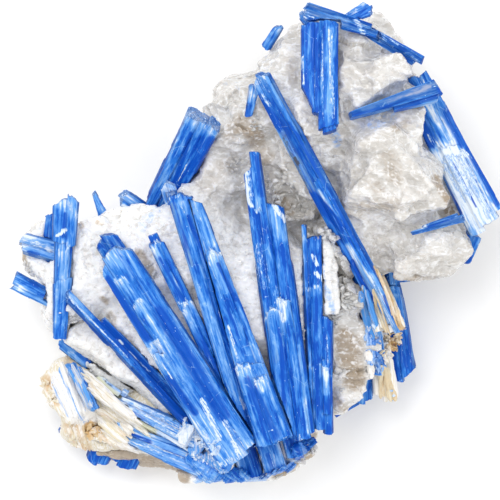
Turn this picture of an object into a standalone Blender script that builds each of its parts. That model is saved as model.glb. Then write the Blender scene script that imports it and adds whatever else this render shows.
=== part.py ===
"""A kyanite blade cluster: long blue kyanite blades fanned over a mass of white quartz.

The specimen lies on its flat underside with the blades uppermost. +Z is up, +X runs to the right and +Y
away, towards the tall lobe of glassy quartz. The origin is under the middle of the whole cluster, on the
surface that it rests on. All sizes in the tables below are millimetres.

A blade is a bundle of laths, the flat splinters that a kyanite crystal grows and cleaves in. Each lath is
a chamfered box, and the laths of one blade are joined into one solid. Where two crystals meet, the one
that is listed later is cut back from the earlier one, and the quartz is cut back from them all, by a gap.
"""

from __future__ import annotations

import math
from dataclasses import dataclass
from random import Random

import bmesh
import bpy
from mathutils import Matrix, Vector

MM = 0.001

# Driving dimensions of the whole cluster, in millimetres.
GAP = 0.3  # between two crystals that meet
CHAMFER_SHARE = 0.2  # of a lath's smaller side, on its four long edges
TIP_THINNING = 0.2  # share of its thickness that a blade loses towards its tip
LATH_STEP = 0.14  # by which neighbouring laths differ in depth, so that no two faces are flush
WELDS = (0.05, 0.02, 0.005)  # vertices closer than this are one, by the first that keeps a solid closed
FLAT_ANGLE = math.radians(4)  # faces that meet at less than this are one facet
LENGTHWAYS = 0.7  # an edge with at least this share of its run along the blade counts as a long edge
FLOOR_SIZE = (300.0, 300.0, 100.0)  # of the slab that saws the underside flat

# How a block of quartz is broken: how unevenly its faces are spread, how far out they lie as a share of
# the ellipsoid that they touch, and the shortest edge that is left between them.
LEVEL_SPREAD = 0.12
TURN_SPREAD = 0.35
FACE_REACH = (0.90, 1.04)
SHORTEST_EDGE = 0.3
HOLLOW_SEED = 200


@dataclass(frozen=True)
class Finish:
    """A material: its colour, how rough it is and how metallic."""

    name: str
    colour: tuple[float, float, float]
    roughness: float
    metallic: float = 0.0


KYANITE = Finish("kyanite", (0.03, 0.15, 0.62), 0.35)
PALE_KYANITE = Finish("pale_kyanite", (0.45, 0.62, 0.88), 0.45)
WEATHERED = Finish("weathered_kyanite", (0.72, 0.60, 0.42), 0.8)
QUARTZ = Finish("quartz", (0.80, 0.78, 0.76), 0.3)


@dataclass(frozen=True)
class Lath:
    """One splinter of a blade.

    left and right are shares of the blade's half width, start and end are shares of its length from foot
    to tip, rise is how far the top stands above the blade's face, and slant is how much further the right
    corner of the tip end reaches than the left one.
    """

    left: float
    right: float
    start: float = 0.0
    end: float = 1.0
    rise: float = 0.0
    slant: float = 0.0


@dataclass(frozen=True)
class Blade:
    """A crystal blade from the middle of its foot to the middle of its tip.

    widths are at the foot and at the tip, and roll turns the broad face about the blade's length, from
    facing up towards the right-hand side as seen from the foot.
    """

    name: str
    foot: tuple[float, float, float]
    tip: tuple[float, float, float]
    widths: tuple[float, float]
    thickness: float
    laths: tuple[Lath, ...]
    roll: float = 0.0
    finish: Finish = KYANITE


@dataclass(frozen=True)
class Lump:
    """A block of quartz with flat broken faces.

    middle and half are its middle and half sizes in plan, levels its lowest and highest level, turn its
    turn about the upright and cuts the number of its broken faces.
    """

    middle: tuple[float, float]
    half: tuple[float, float]
    levels: tuple[float, float]
    turn: float = 0.0
    cuts: int = 11


SPLIT = (Lath(-1.0, 0.2, 0.0, 1.0, 0.25, 0.5), Lath(0.1, 1.0, 0.0, 0.92, -0.3, -0.6))
STUB = (Lath(-1.0, -0.1, 0.0, 0.94, -0.3, 0.7), Lath(-0.2, 1.0, 0.0, 1.0, 0.2, -0.8))
POINT = (Lath(-1.0, 1.0, 0.0, 1.0, 0.0, 0.6),)

# The great fan in front: blades that spring from the near edge and rise over the quartz towards their tips.
FAN_BLADES = (
    Blade(
        "fan_blade_centre_right", (4.8, -49.2, 28.5), (-15.1, 10.2, 33.5), (9.2, 2.8), 4.2,
        (
            Lath(-0.95, 1.0, 0.0, 1.0, -0.5, -1.2),
            Lath(-1.0, 0.45, 0.02, 0.80, 0.25, 1.0),
            Lath(-1.0, 0.96, -0.01, 0.33, 0.9, -1.4),
            Lath(-0.25, 0.85, 0.0, 0.27, 1.35, 0.8),
        ),
    ),
    Blade(
        "fan_blade_tall", (10.2, -49.0, 27.5), (0.6, 22.4, 32.0), (8.8, 8.8), 4.6,
        (
            Lath(-1.0, -0.4, 0.06, 0.95, -0.2, 0.5),
            Lath(-0.5, 0.06, 0.03, 1.0, 0.3, -0.5),
            Lath(-0.05, 1.0, 0.01, 0.815, -0.1, -1.5),
            Lath(-0.92, 0.05, 0.02, 0.46, 0.55, 1.2),
            Lath(0.0, 0.7, 0.0, 0.49, 0.8, -1.3),
        ),
    ),
    Blade(
        "fan_blade_broad", (-4.0, -53.9, 26.5), (-36.2, -2.2, 34.0), (11.8, 9.8), 5.0,
        (
            Lath(-1.0, -0.45, 0.03, 0.955, -0.9, 1.8),
            Lath(-0.52, 0.42, 0.0, 1.0, 0.25, 0.6),
            Lath(0.3, 1.0, 0.02, 0.985, -0.25, -2.0),
            Lath(-0.86, -0.2, 0.0, 0.55, 0.75, -1.6),
        ),
        roll=-6.0,
    ),
    Blade(
        "fan_blade_centre_left", (-0.6, -51.0, 25.5), (-19.4, 12.2, 33.0), (5.6, 6.0), 4.2,
        (
            Lath(-1.0, 0.35, 0.0, 1.0, 0.2, -0.6),
            Lath(0.2, 1.0, 0.0, 0.985, -0.35, -1.2),
        ),
        roll=-4.0,
    ),
    Blade(
        "fan_blade_slim", (-4.6, -43.2, 24.0), (-25.8, 1.7, 31.5), (4.2, 3.7), 3.6,
        (
            Lath(-1.0, 0.3, 0.0, 0.965, 0.25, -0.3),
            Lath(0.1, 1.0, 0.0, 0.955, -0.25, -0.6),
            Lath(-0.55, 0.6, 0.5, 1.0, -0.6),
        ),
    ),
    Blade(
        "fan_blade_right", (16.0, -48.2, 25.5), (14.4, 4.8, 28.8), (4.8, 6.6), 4.0,
        (
            Lath(-1.0, -0.55, 0.04, 1.0, 0.1, -0.3),
            Lath(-0.62, 0.55, 0.02, 0.94, -0.2, 0.5),
            Lath(0.4, 1.3, 0.0, 0.56, -0.1, -0.6),
            Lath(0.25, 1.1, 0.1, 0.36, 0.6, -1.2),
        ),
    ),
    Blade(
        "fan_blade_edge_on", (-14.6, -46.6, 21.0), (-46.8, -12.4, 25.5), (4.8, 4.0), 2.8,
        (
            Lath(-1.0, -0.15, 0.0, 1.0, 0.35, 0.9),
            Lath(-0.3, 1.0, 0.0, 0.77, -0.3, 0.6),
        ),
        roll=26.0,
    ),
)

# Shorter blades below the fan's foot, and the splinters that sweep in from the weathered corner.
FOOT_BLADES = (
    Blade("foot_blade_middle", (5.2, -57.6, 18.6), (1.0, -44.0, 22.0), (5.4, 5.4), 4.4, SPLIT, roll=-8.0),
    Blade("foot_blade_right", (9.8, -54.2, 20.8), (6.0, -40.0, 23.4), (4.4, 4.4), 3.0, STUB, roll=12.0),
    Blade("foot_blade_left", (-1.2, -59.6, 14.4), (-6.0, -44.0, 18.0), (6.2, 6.0), 4.4, STUB, roll=6.0),
    Blade("foot_blade_low", (-9.6, -59.8, 10.0), (-14.0, -44.0, 13.0), (8.4, 6.0), 4.0, SPLIT, roll=-6.0),
    Blade(
        "sweeping_blade_low", (-9.8, -57.8, 17.2), (-39.4, -46.2, 17.4), (7.2, 3.6), 3.2,
        (
            Lath(-1.0, -0.1, 0.0, 0.94, -0.2, 0.8),
            Lath(-0.2, 0.55, 0.02, 1.0, 0.3, -0.9),
            Lath(0.4, 1.0, 0.0, 0.88, -0.1, 0.7),
        ),
        roll=10.0,
    ),
    Blade(
        "sweeping_blade_crusted", (-11.8, -51.0, 21.4), (-36.4, -39.0, 18.8), (5.4, 2.8), 3.0, SPLIT,
        roll=-8.0,
    ),
    Blade(
        "sweeping_blade_pale", (-16.6, -52.4, 19.0), (-41.8, -35.2, 18.4), (2.2, 5.8), 3.0,
        (
            Lath(-1.0, 0.0, 0.0, 0.95, 0.2, 0.8),
            Lath(-0.1, 1.0, 0.02, 1.0, -0.25, -0.9),
        ),
        roll=6.0, finish=PALE_KYANITE,
    ),
    Blade(
        "sweeping_blade_tan", (-22.0, -54.0, 14.2), (-42.4, -47.4, 15.6), (3.2, 4.6), 4.0, SPLIT,
        roll=12.0, finish=WEATHERED,
    ),
)

# Blades that stand out round the left-hand rim of the quartz.
LEFT_BLADES = (
    Blade(
        "left_upright_blade", (-49.4, -24.2, 20.5), (-47.6, 11.6, 24.5), (3.8, 6.0), 3.4,
        (
            Lath(-1.0, 0.3, 0.66, 0.97, 0.3, 1.4),
            Lath(0.1, 1.0, 0.64, 1.0, 0.0, -1.0),
            Lath(-0.8, 0.8, 0.30, 0.72, -0.2, 0.4),
            Lath(-0.9, 1.0, 0.0, 0.42, 0.15, 1.6),
        ),
    ),
    Blade("left_stub_upper", (-49.6, -3.2, 16.4), (-59.8, -0.2, 16.8), (5.0, 4.8), 4.2, STUB, roll=14.0),
    Blade("left_stub_dark", (-52.0, -2.0, 14.6), (-51.2, 7.2, 16.0), (4.2, 4.0), 3.4, SPLIT, roll=-18.0),
    Blade(
        "left_stub_lower", (-51.4, -15.4, 15.0), (-61.8, -9.8, 15.2), (3.6, 4.6), 3.2,
        (
            Lath(-1.0, -0.3, -0.05, 0.96, -0.2, -0.6),
            Lath(-0.4, 1.0, 0.22, 1.0, 0.3, 0.8),
        ),
    ),
    Blade("rim_point", (-36.0, 1.0, 13.0), (-41.0, 12.2, 18.0), (4.0, 1.4), 2.8, POINT),
    Blade("rim_stub", (-24.0, 4.0, 14.0), (-34.2, 11.4, 20.0), (4.4, 4.2), 3.8, STUB),
    Blade("hidden_tip_blade", (-30.4, -10.6, 24.6), (-38.4, 1.4, 27.4), (6.4, 6.0), 3.4, STUB),
    Blade(
        "leaning_back_blade", (-24.4, 9.0, 17.4), (-12.6, 30.6, 33.6), (7.4, 9.2), 6.8,
        (
            Lath(-1.0, -0.25, 0.0, 1.0, 0.2, -0.9),
            Lath(-0.35, 0.35, 0.0, 0.985, -0.7),
            Lath(0.25, 1.0, 0.0, 0.99, -0.3, -0.7),
        ),
        roll=9.0,
    ),
    Blade("tip_chip", (-20.6, 9.4, 29.6), (-22.0, 14.6, 31.6), (3.4, 3.6), 2.6, STUB, finish=PALE_KYANITE),
    Blade("corner_splinter", (-41.8, -31.6, 14.6), (-49.8, -25.0, 12.6), (2.4, 3.2), 2.8, POINT),
)

# Stubs and splinters low on the near left corner.
CORNER_BLADES = (
    Blade("corner_lath", (-40.2, -42.4, 20.4), (-46.4, -30.6, 20.0), (1.8, 3.6), 2.0, SPLIT, roll=-8.0),
    Blade("corner_stub_left", (-37.2, -48.6, 8.4), (-41.2, -57.0, 7.4), (6.6, 5.6), 4.4, STUB),
    Blade("corner_stub_right", (-30.8, -48.6, 8.0), (-34.8, -57.6, 7.0), (7.4, 7.4), 4.4, SPLIT),
    Blade("corner_low_splinter", (-45.8, -43.4, 8.0), (-49.4, -49.4, 7.0), (3.6, 2.8), 3.2, POINT),
)

# Blades on and round the tall glassy lobe.
LOBE_BLADES = (
    Blade(
        "long_diagonal_blade", (35.2, -22.4, 28.0), (0.9, 41.0, 37.4), (7.4, 6.4), 3.2,
        (
            Lath(-1.0, -0.3, 0.12, 0.985, 0.1, 1.4),
            Lath(-0.4, 1.0, 0.04, 1.0, -0.25, -1.2),
            Lath(0.1, 0.8, 0.0, 0.6, 0.35, 0.8),
        ),
        roll=-56.0,
    ),
    Blade(
        "splayed_end", (32.6, -22.0, 26.0), (26.8, -5.4, 27.0), (5.6, 2.8), 3.0,
        (
            Lath(-1.0, -0.45, 0.0, 1.0, 0.2, 0.5),
            Lath(-0.5, 0.2, 0.05, 0.97, -0.3, 0.3),
            Lath(0.1, 1.0, -0.04, 0.94, 0.25, -0.4),
        ),
        roll=-14.0, finish=WEATHERED,
    ),
    Blade("hook_splinter", (-0.4, 38.8, 33.4), (-2.0, 30.8, 31.4), (2.8, 2.0), 1.8, POINT, roll=-20.0),
    Blade(
        "upper_blade_pair", (15.6, 53.6, 36.0), (15.6, 26.2, 41.2), (9.2, 8.8), 4.6,
        (
            Lath(0.3, 1.0, 0.0, 0.70, -0.3, -7.0),
            Lath(-0.05, 0.42, 0.0, 0.83, -0.6, -0.6),
            Lath(-1.0, 0.06, 0.0, 0.96, 0.4, 0.9),
            Lath(-0.9, -0.1, 0.0, 1.0, 0.0, 0.9),
        ),
    ),
    Blade(
        "ridge_blade_left", (30.0, 51.4, 35.0), (11.6, 56.8, 36.4), (3.0, 4.4), 4.0,
        (
            Lath(-1.0, 0.3, 0.0, 0.99, -0.2, 0.5),
            Lath(0.1, 1.0, 0.1, 1.0, 0.25, -0.7),
        ),
    ),
    Blade("ridge_blade_right", (24.4, 53.8, 32.4), (41.0, 44.0, 31.6), (2.6, 3.6), 3.4, SPLIT, roll=8.0),
    Blade("ridge_point", (21.0, 54.4, 30.4), (28.6, 58.1, 31.5), (2.0, 3.6), 2.6, STUB),
    Blade("ridge_end_splinter", (14.6, 52.0, 31.4), (11.0, 56.6, 33.0), (2.4, 2.4), 2.6, POINT),
    Blade(
        "side_rod", (22.8, 30.4, 37.2), (45.0, 37.7, 35.8), (1.6, 4.4), 4.8,
        (
            Lath(-1.0, 0.8, 0.0, 1.0, 0.2, 0.9),
            Lath(0.3, 1.45, 0.47, 0.97, -0.7, -1.4),
        ),
        roll=-8.0,
    ),
    Blade(
        "broad_side_blade", (57.3, 5.3, 23.0), (38.5, 41.1, 25.5), (10.2, 8.4), 3.2,
        (
            Lath(0.3, 1.0, 0.01, 0.99, -0.25, 1.0),
            Lath(-0.3, 0.42, -0.03, 1.0, 0.1, -0.8),
            Lath(-1.0, -0.2, -0.055, 0.985, -0.15, 1.2),
            Lath(-0.45, 0.7, -0.02, 0.52, 0.45, -1.5),
        ),
        roll=-4.0,
    ),
    Blade(
        "ledge_sliver", (51.6, 5.9, 32.4), (38.2, 1.9, 33.8), (2.4, 1.2), 2.2,
        (
            Lath(-1.0, 0.6, 0.0, 1.0, 0.1, 0.3),
            Lath(0.0, 1.3, 0.1, 0.8, -0.2, -0.8),
        ),
    ),
    Blade("ledge_end_blade", (55.0, 2.0, 18.6), (51.8, -5.6, 17.0), (4.6, 4.6), 4.0, STUB, roll=10.0),
    Blade("ledge_under_splinter", (39.6, -8.4, 14.4), (33.2, -9.8, 13.8), (3.4, 2.8), 2.8, POINT),
    Blade("lobe_rim_splinter", (2.2, 48.0, 25.0), (6.0, 54.0, 27.0), (2.4, 2.2), 2.2, POINT),
    Blade("pale_flake", (19.0, -18.0, 27.6), (18.0, 1.0, 28.8), (3.6, 3.2), 1.8, SPLIT, finish=PALE_KYANITE),
)

# The bundle that hangs out under the long blade's lower end.
BUNDLE_BLADES = (
    Blade(
        "hanging_blade", (33.8, -7.4, 13.4), (38.0, -35.6, 9.6), (4.2, 6.2), 4.4,
        (
            Lath(-1.0, 0.2, 0.0, 0.95, 0.25, 1.6),
            Lath(0.1, 1.0, 0.0, 1.0, -0.3, -0.6),
        ),
        roll=8.0,
    ),
    Blade("bundle_lath_crumbly", (29.0, -18.4, 21.6), (31.2, -33.4, 16.6), (4.2, 4.4), 3.4, STUB),
    Blade(
        "bundle_lath_tan", (31.4, -25.0, 15.2), (33.2, -40.4, 11.0), (4.4, 6.2), 3.6, SPLIT,
        finish=WEATHERED,
    ),
    Blade("bundle_lath_dark", (25.8, -7.6, 23.0), (29.0, -23.0, 20.6), (4.0, 3.4), 3.4, SPLIT, roll=-18.0),
    Blade("bundle_stub", (27.2, -29.6, 11.6), (27.4, -41.4, 9.4), (4.4, 4.6), 3.8, STUB),
    Blade("under_splinter", (26.0, -40.4, 6.8), (19.8, -44.4, 5.4), (2.8, 2.2), 2.8, POINT),
)

BLADES = FAN_BLADES + FOOT_BLADES + LEFT_BLADES + CORNER_BLADES + LOBE_BLADES + BUNDLE_BLADES

# The pale, weathered corner: rough blocks of altered kyanite.
ROOT_LUMPS = (
    Lump((-46.4, -38.4), (6.8, 9.0), (6.0, 19.0), 20.0, 11),
    Lump((-42.0, -47.4), (8.0, 5.4), (4.0, 15.6), -15.0, 11),
    Lump((-35.6, -48.6), (5.8, 4.4), (5.0, 15.4), 10.0, 10),
    Lump((-29.0, -44.6), (12.0, 5.2), (5.0, 17.2), -28.0, 10),
    Lump((-46.4, -34.8), (4.6, 4.4), (8.0, 17.4), 0.0, 10),
)

# Crumbs of crushed kyanite that cake the foot of the fan.
CRUMB_LUMPS = (
    Lump((-13.6, -50.2), (4.6, 3.4), (14.0, 23.4), 30.0, 10),
    Lump((-16.8, -47.2), (3.6, 2.4), (14.0, 22.6), 10.0, 10),
    Lump((-9.8, -54.4), (4.2, 3.2), (12.0, 23.0), -20.0, 10),
)

# A slab of white quartz that lies between the edge-on blade and the weathered corner.
BAR_LUMPS = (
    Lump((-39.0, -26.4), (8.8, 4.6), (8.0, 22.4), -38.0, 10),
    Lump((-30.4, -33.0), (8.4, 3.8), (8.0, 21.8), -38.0, 9),
    Lump((-24.4, -38.8), (6.8, 2.8), (8.0, 21.0), -36.0, 9),
)

# The matrix: the near mass of sugary quartz, then the tall glassy lobe, then smaller blocks upon both.
QUARTZ_LUMPS = (
    Lump((-40.2, -9.0), (16.0, 14.4), (-2.0, 24.0), 12.0, 12),
    Lump((-26.0, -4.2), (16.0, 13.2), (-2.0, 27.4), -8.0, 12),
    Lump((-13.4, -1.4), (16.0, 16.2), (-2.0, 28.6), 20.0, 12),
    Lump((0.4, -11.2), (17.0, 23.6), (-2.0, 28.0), 0.0, 13),
    Lump((-18.4, -24.2), (20.0, 19.6), (-2.0, 24.0), -15.0, 12),
    Lump((-35.0, -30.6), (14.0, 12.6), (-2.0, 16.6), 10.0, 10),
    Lump((16.4, -21.2), (14.4, 23.0), (-2.0, 26.6), 5.0, 12),
    Lump((-4.4, -46.0), (20.0, 15.0), (-2.0, 17.4), 0.0, 12),
    Lump((-52.0, -3.8), (7.4, 9.0), (4.0, 17.0), 15.0, 10),
    Lump((-26.0, -49.8), (16.6, 8.2), (-1.0, 11.6), -10.0, 10),
    Lump((21.6, -32.4), (6.6, 8.4), (-1.0, 21.4), 20.0, 10),
    Lump((6.0, -51.0), (8.2, 8.2), (2.0, 16.0), 35.0, 10),
    Lump((-47.6, -14.2), (6.4, 8.6), (2.0, 20.6), 0.0, 10),
    Lump((20.4, 36.6), (21.0, 19.0), (-2.0, 38.0), 10.0, 15),
    Lump((1.6, 30.6), (13.6, 14.6), (-2.0, 30.6), -10.0, 12),
    Lump((32.4, 30.6), (10.0, 15.0), (3.0, 36.4), 8.0, 11),
    Lump((31.4, 14.8), (13.8, 14.6), (-2.0, 39.0), -12.0, 13),
    Lump((42.8, -1.5), (11.2, 7.8), (7.0, 32.6), 8.0, 12),
    Lump((-9.4, 18.6), (10.6, 13.0), (-2.0, 27.6), 12.0, 12),
    Lump((-4.6, 30.6), (8.0, 8.4), (4.0, 28.6), 30.0, 10),
    Lump((10.0, 42.2), (8.4, 9.8), (5.0, 33.6), -42.0, 11),
    Lump((22.6, 45.2), (13.2, 7.4), (6.0, 34.8), -22.0, 11),
    Lump((11.6, 18.6), (13.0, 15.4), (-2.0, 29.4), 0.0, 10),
    Lump((24.2, 1.2), (12.4, 10.4), (-2.0, 30.6), -10.0, 10),
    Lump((38.6, 11.2), (7.6, 7.4), (16.0, 37.6), 25.0, 10),
    Lump((48.0, 13.0), (8.0, 13.0), (8.0, 20.0), 20.0, 9),
    Lump((20.4, 1.6), (3.8, 3.2), (24.0, 33.4), 20.0, 10),
    Lump((24.2, -5.0), (2.8, 3.2), (22.0, 30.6), 0.0, 9),
    Lump((22.8, -13.6), (4.4, 6.0), (14.0, 28.4), 10.0, 10),
    Lump((23.0, -38.4), (5.4, 2.8), (8.0, 23.0), 35.0, 10),
    Lump((29.6, 40.6), (8.0, 7.0), (20.0, 39.0), 35.0, 10),
    Lump((31.6, 24.0), (8.2, 5.2), (20.0, 40.0), -15.0, 10),
    Lump((7.8, 38.6), (6.4, 7.2), (16.0, 35.4), 15.0, 10),
    Lump((-13.4, 12.6), (6.4, 5.0), (10.0, 27.8), -30.0, 10),
    Lump((-28.0, 0.8), (7.2, 4.4), (10.0, 26.2), 10.0, 10),
    Lump((9.8, 8.6), (5.0, 3.6), (16.0, 29.8), 10.0, 10),
)

# Hollows broken out of the quartz: beside the tall blade's shoulder and under the lobe's far left flank.
HOLLOWS = (
    Lump((9.6, 8.4), (4.6, 2.8), (22.0, 40.0), -30.0, 9),
    Lump((2.2, 21.6), (5.0, 7.2), (25.0, 44.0), 20.0, 9),
    Lump((22.4, 33.0), (1.6, 4.2), (34.5, 48.0), 8.0, 8),
)


@dataclass(frozen=True)
class Rock:
    """A mass of blocks grown together. The seed settles how each block is broken."""

    name: str
    lumps: tuple[Lump, ...]
    seed: int
    finish: Finish


ROCKS = (
    Rock("fan_foot_crumbs", CRUMB_LUMPS, 40, PALE_KYANITE),
    Rock("weathered_root", ROOT_LUMPS, 60, WEATHERED),
    Rock("quartz_bar", BAR_LUMPS, 80, QUARTZ),
    Rock("quartz_matrix", QUARTZ_LUMPS, 100, QUARTZ),
)


def clear_scene() -> bpy.types.Collection:
    """Empties the scene and returns a new collection for the cluster."""
    for obj in list(bpy.data.objects):
        bpy.data.objects.remove(obj)
    cluster = bpy.data.collections.new("kyanite_blade_cluster")
    bpy.context.scene.collection.children.link(cluster)
    return cluster


def material(finish: Finish) -> bpy.types.Material:
    """The Principled material of a finish, made once."""
    found = bpy.data.materials.get(finish.name)
    if found:
        return found
    made = bpy.data.materials.new(finish.name)
    made.use_nodes = True
    shader = made.node_tree.nodes["Principled BSDF"]
    shader.inputs["Base Color"].default_value = (*finish.colour, 1.0)
    shader.inputs["Roughness"].default_value = finish.roughness
    shader.inputs["Metallic"].default_value = finish.metallic
    return made


def mesh_object(name: str, bm: bmesh.types.BMesh, place: Matrix) -> bpy.types.Object:
    """A new object that holds bm, placed by its matrix. It frees bm."""
    mesh = bpy.data.meshes.new(name)
    bm.to_mesh(mesh)
    bm.free()
    obj = bpy.data.objects.new(name, mesh)
    obj.matrix_world = place
    bpy.context.scene.collection.objects.link(obj)
    return obj


def discard(objects: list[bpy.types.Object]) -> None:
    """Removes objects that were only needed for a cut or a join."""
    for obj in objects:
        bpy.data.objects.remove(obj)


def combine(base: bpy.types.Object, others: list[bpy.types.Object], operation: str) -> None:
    """Joins the others to base, or cuts them from it, and keeps the result as base's mesh."""
    for other in others:
        modifier = base.modifiers.new(operation, "BOOLEAN")
        modifier.operation = operation
        modifier.solver = "EXACT"
        modifier.object = other
    bpy.context.view_layer.update()
    evaluated = base.evaluated_get(bpy.context.evaluated_depsgraph_get())
    result = bpy.data.meshes.new_from_object(evaluated)
    base.modifiers.clear()
    base.data = result


def islands(bm: bmesh.types.BMesh) -> list[list[bmesh.types.BMFace]]:
    """The faces of each connected piece of a mesh."""
    waiting = set(bm.faces)
    found = []
    while waiting:
        front = [waiting.pop()]
        piece = []
        while front:
            face = front.pop()
            piece.append(face)
            near = {linked for edge in face.edges for linked in edge.link_faces}
            front.extend(near & waiting)
            waiting -= near
        found.append(piece)
    return found


def keep_largest(bm: bmesh.types.BMesh) -> None:
    """Removes the chips that a cut has left loose beside the main piece."""
    pieces = sorted(islands(bm), key=lambda piece: sum(face.calc_area() for face in piece))
    for chip in pieces[:-1]:
        bmesh.ops.delete(bm, geom=chip, context="FACES")


def tidy(obj: bpy.types.Object) -> None:
    """Keeps the main piece of a cut crystal, and makes faces that lie flush into one."""
    for weld in WELDS:
        bm = bmesh.new()
        bm.from_mesh(obj.data)
        keep_largest(bm)
        bmesh.ops.remove_doubles(bm, verts=bm.verts, dist=weld * MM)
        bmesh.ops.dissolve_limit(bm, angle_limit=FLAT_ANGLE, verts=bm.verts, edges=bm.edges)
        bmesh.ops.triangulate(bm, faces=bm.faces)
        bmesh.ops.recalc_face_normals(bm, faces=bm.faces)
        closed = all(len(edge.link_faces) == 2 for edge in bm.edges)
        if closed or weld == WELDS[-1]:
            bm.to_mesh(obj.data)
        bm.free()
        if closed:
            return


def blade_frame(blade: Blade) -> tuple[Matrix, float]:
    """A blade's placement, with X across it, Y from foot to tip and Z out of its face, and its length."""
    foot = Vector(blade.foot) * MM
    tip = Vector(blade.tip) * MM
    along = (tip - foot).normalized()
    across = along.cross(Vector((0.0, 0.0, 1.0))).normalized()
    turn = Matrix.Rotation(math.radians(blade.roll), 3, along)
    across = turn @ across
    face = across.cross(along)
    axes = Matrix((across, along, face)).transposed()
    return Matrix.Translation(foot) @ axes.to_4x4(), (tip - foot).length


def lath_mesh(blade: Blade, lath: Lath, order: int, length: float, grow: float) -> bmesh.types.BMesh:
    """A lath as a tapered box with its four long edges chamfered, grown outwards on every side."""
    bm = bmesh.new()
    bmesh.ops.create_cube(bm, size=2.0)
    step = LATH_STEP * order
    for vertex in bm.verts:
        side, end, level = vertex.co
        share = lath.start if end < 0 else lath.end
        half = 0.5 * (blade.widths[0] + (blade.widths[1] - blade.widths[0]) * min(max(share, 0.0), 1.0))
        depth = 0.5 * blade.thickness * (1.0 - TIP_THINNING * max(share, 0.0))
        x = (lath.left if side < 0 else lath.right) * half
        y = share * length / MM + (0.5 * lath.slant * side if end > 0 else -step)
        z = depth + lath.rise if level > 0 else step - depth
        vertex.co = Vector((x + grow * side, y + grow * end, z + grow * level)) * MM
    wide = (lath.right - lath.left) * 0.5 * min(blade.widths)
    chamfer = CHAMFER_SHARE * min(wide, blade.thickness)
    long_edges = [
        edge for edge in bm.edges
        if abs((edge.verts[0].co - edge.verts[1].co).normalized().y) > LENGTHWAYS
        and edge.calc_length() > 0.5 * wide * MM
    ]
    if len(long_edges) == 4 and grow == 0.0:
        bmesh.ops.bevel(bm, geom=long_edges, offset=chamfer * MM, segments=1, affect="EDGES")
    return bm


def blade_solid(blade: Blade, grow: float = 0.0) -> bpy.types.Object:
    """A blade with its laths joined into one solid."""
    place, length = blade_frame(blade)
    laths = [
        mesh_object(blade.name, lath_mesh(blade, lath, order, length, grow), place)
        for order, lath in enumerate(blade.laths)
    ]
    if len(laths) > 1:
        combine(laths[0], laths[1:], "UNION")
        discard(laths[1:])
    return laths[0]


def lump_mesh(lump: Lump, seed: int, grow: float) -> bmesh.types.BMesh:
    """A block broken off by flat faces that touch an ellipsoid, in seeded directions spread round it."""
    rng = Random(seed)
    low, high = lump.levels
    half = Vector((lump.half[0], lump.half[1], 0.5 * (high - low))) * MM
    bm = bmesh.new()
    bmesh.ops.create_cube(bm, size=2.0)
    bmesh.ops.scale(bm, vec=half, verts=bm.verts)
    golden = math.pi * (3.0 - math.sqrt(5.0))
    for number in range(lump.cuts):
        level = 1.0 - 2.0 * (number + 0.5) / lump.cuts + rng.uniform(-LEVEL_SPREAD, LEVEL_SPREAD)
        level = max(-1.0, min(1.0, level))
        angle = number * golden + rng.uniform(-TURN_SPREAD, TURN_SPREAD)
        ring = math.sqrt(1.0 - level * level)
        normal = Vector((ring * math.cos(angle), ring * math.sin(angle), level))
        touching = math.sqrt(sum((h * n) ** 2 for h, n in zip(half, normal)))
        reach = touching * rng.uniform(*FACE_REACH)
        cut = bmesh.ops.bisect_plane(
            bm, geom=bm.verts[:] + bm.edges[:] + bm.faces[:],
            plane_co=normal * reach, plane_no=normal, clear_outer=True,
        )
        rim = [item for item in cut["geom_cut"] if isinstance(item, bmesh.types.BMEdge)]
        if len(rim) > 2:
            bmesh.ops.contextual_create(bm, geom=rim)
    bmesh.ops.remove_doubles(bm, verts=bm.verts, dist=SHORTEST_EDGE * MM)
    bmesh.ops.dissolve_degenerate(bm, edges=bm.edges, dist=SHORTEST_EDGE * MM)
    centre = Vector((lump.middle[0], lump.middle[1], 0.5 * (low + high))) * MM
    turn = Matrix.Rotation(math.radians(lump.turn), 4, "Z")
    size = 1.0 + grow * MM / min(half)
    bm.transform(Matrix.Translation(centre) @ turn @ Matrix.Scale(size, 4))
    bmesh.ops.recalc_face_normals(bm, faces=bm.faces)
    return bm


def rock_solid(rock: Rock, grow: float = 0.0) -> bpy.types.Object:
    """Blocks grown together into one rock."""
    blocks = [
        mesh_object(rock.name, lump_mesh(lump, rock.seed + number, grow), Matrix.Identity(4))
        for number, lump in enumerate(rock.lumps)
    ]
    combine(blocks[0], blocks[1:], "UNION")
    discard(blocks[1:])
    return blocks[0]


def hull_of(solid: bpy.types.Object) -> bpy.types.Object:
    """A simple convex block round a crystal, for the socket that it leaves in the quartz."""
    bm = bmesh.new()
    for vertex in solid.data.vertices:
        bm.verts.new(vertex.co)
    hull = bmesh.ops.convex_hull(bm, input=bm.verts)
    inside = {item for item in hull["geom_interior"] if isinstance(item, bmesh.types.BMVert)}
    bmesh.ops.delete(bm, geom=list(inside), context="VERTS")
    bmesh.ops.dissolve_limit(bm, angle_limit=FLAT_ANGLE, verts=bm.verts, edges=bm.edges)
    return mesh_object("socket", bm, solid.matrix_world)


def floor_block() -> bpy.types.Object:
    """A slab below the resting surface, which saws the underside flat."""
    bm = bmesh.new()
    bmesh.ops.create_cube(bm, size=1.0)
    size = Vector(FLOOR_SIZE) * MM
    bmesh.ops.scale(bm, vec=size, verts=bm.verts)
    return mesh_object("floor_block", bm, Matrix.Translation((0.0, 0.0, -0.5 * size.z)))


def box_of(obj: bpy.types.Object) -> tuple[Vector, Vector]:
    """The lowest and highest corner of an object in the scene."""
    bpy.context.view_layer.update()
    corners = [obj.matrix_world @ vertex.co for vertex in obj.data.vertices]
    low = Vector([min(corner[axis] for corner in corners) for axis in range(3)])
    high = Vector([max(corner[axis] for corner in corners) for axis in range(3)])
    return low, high


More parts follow.
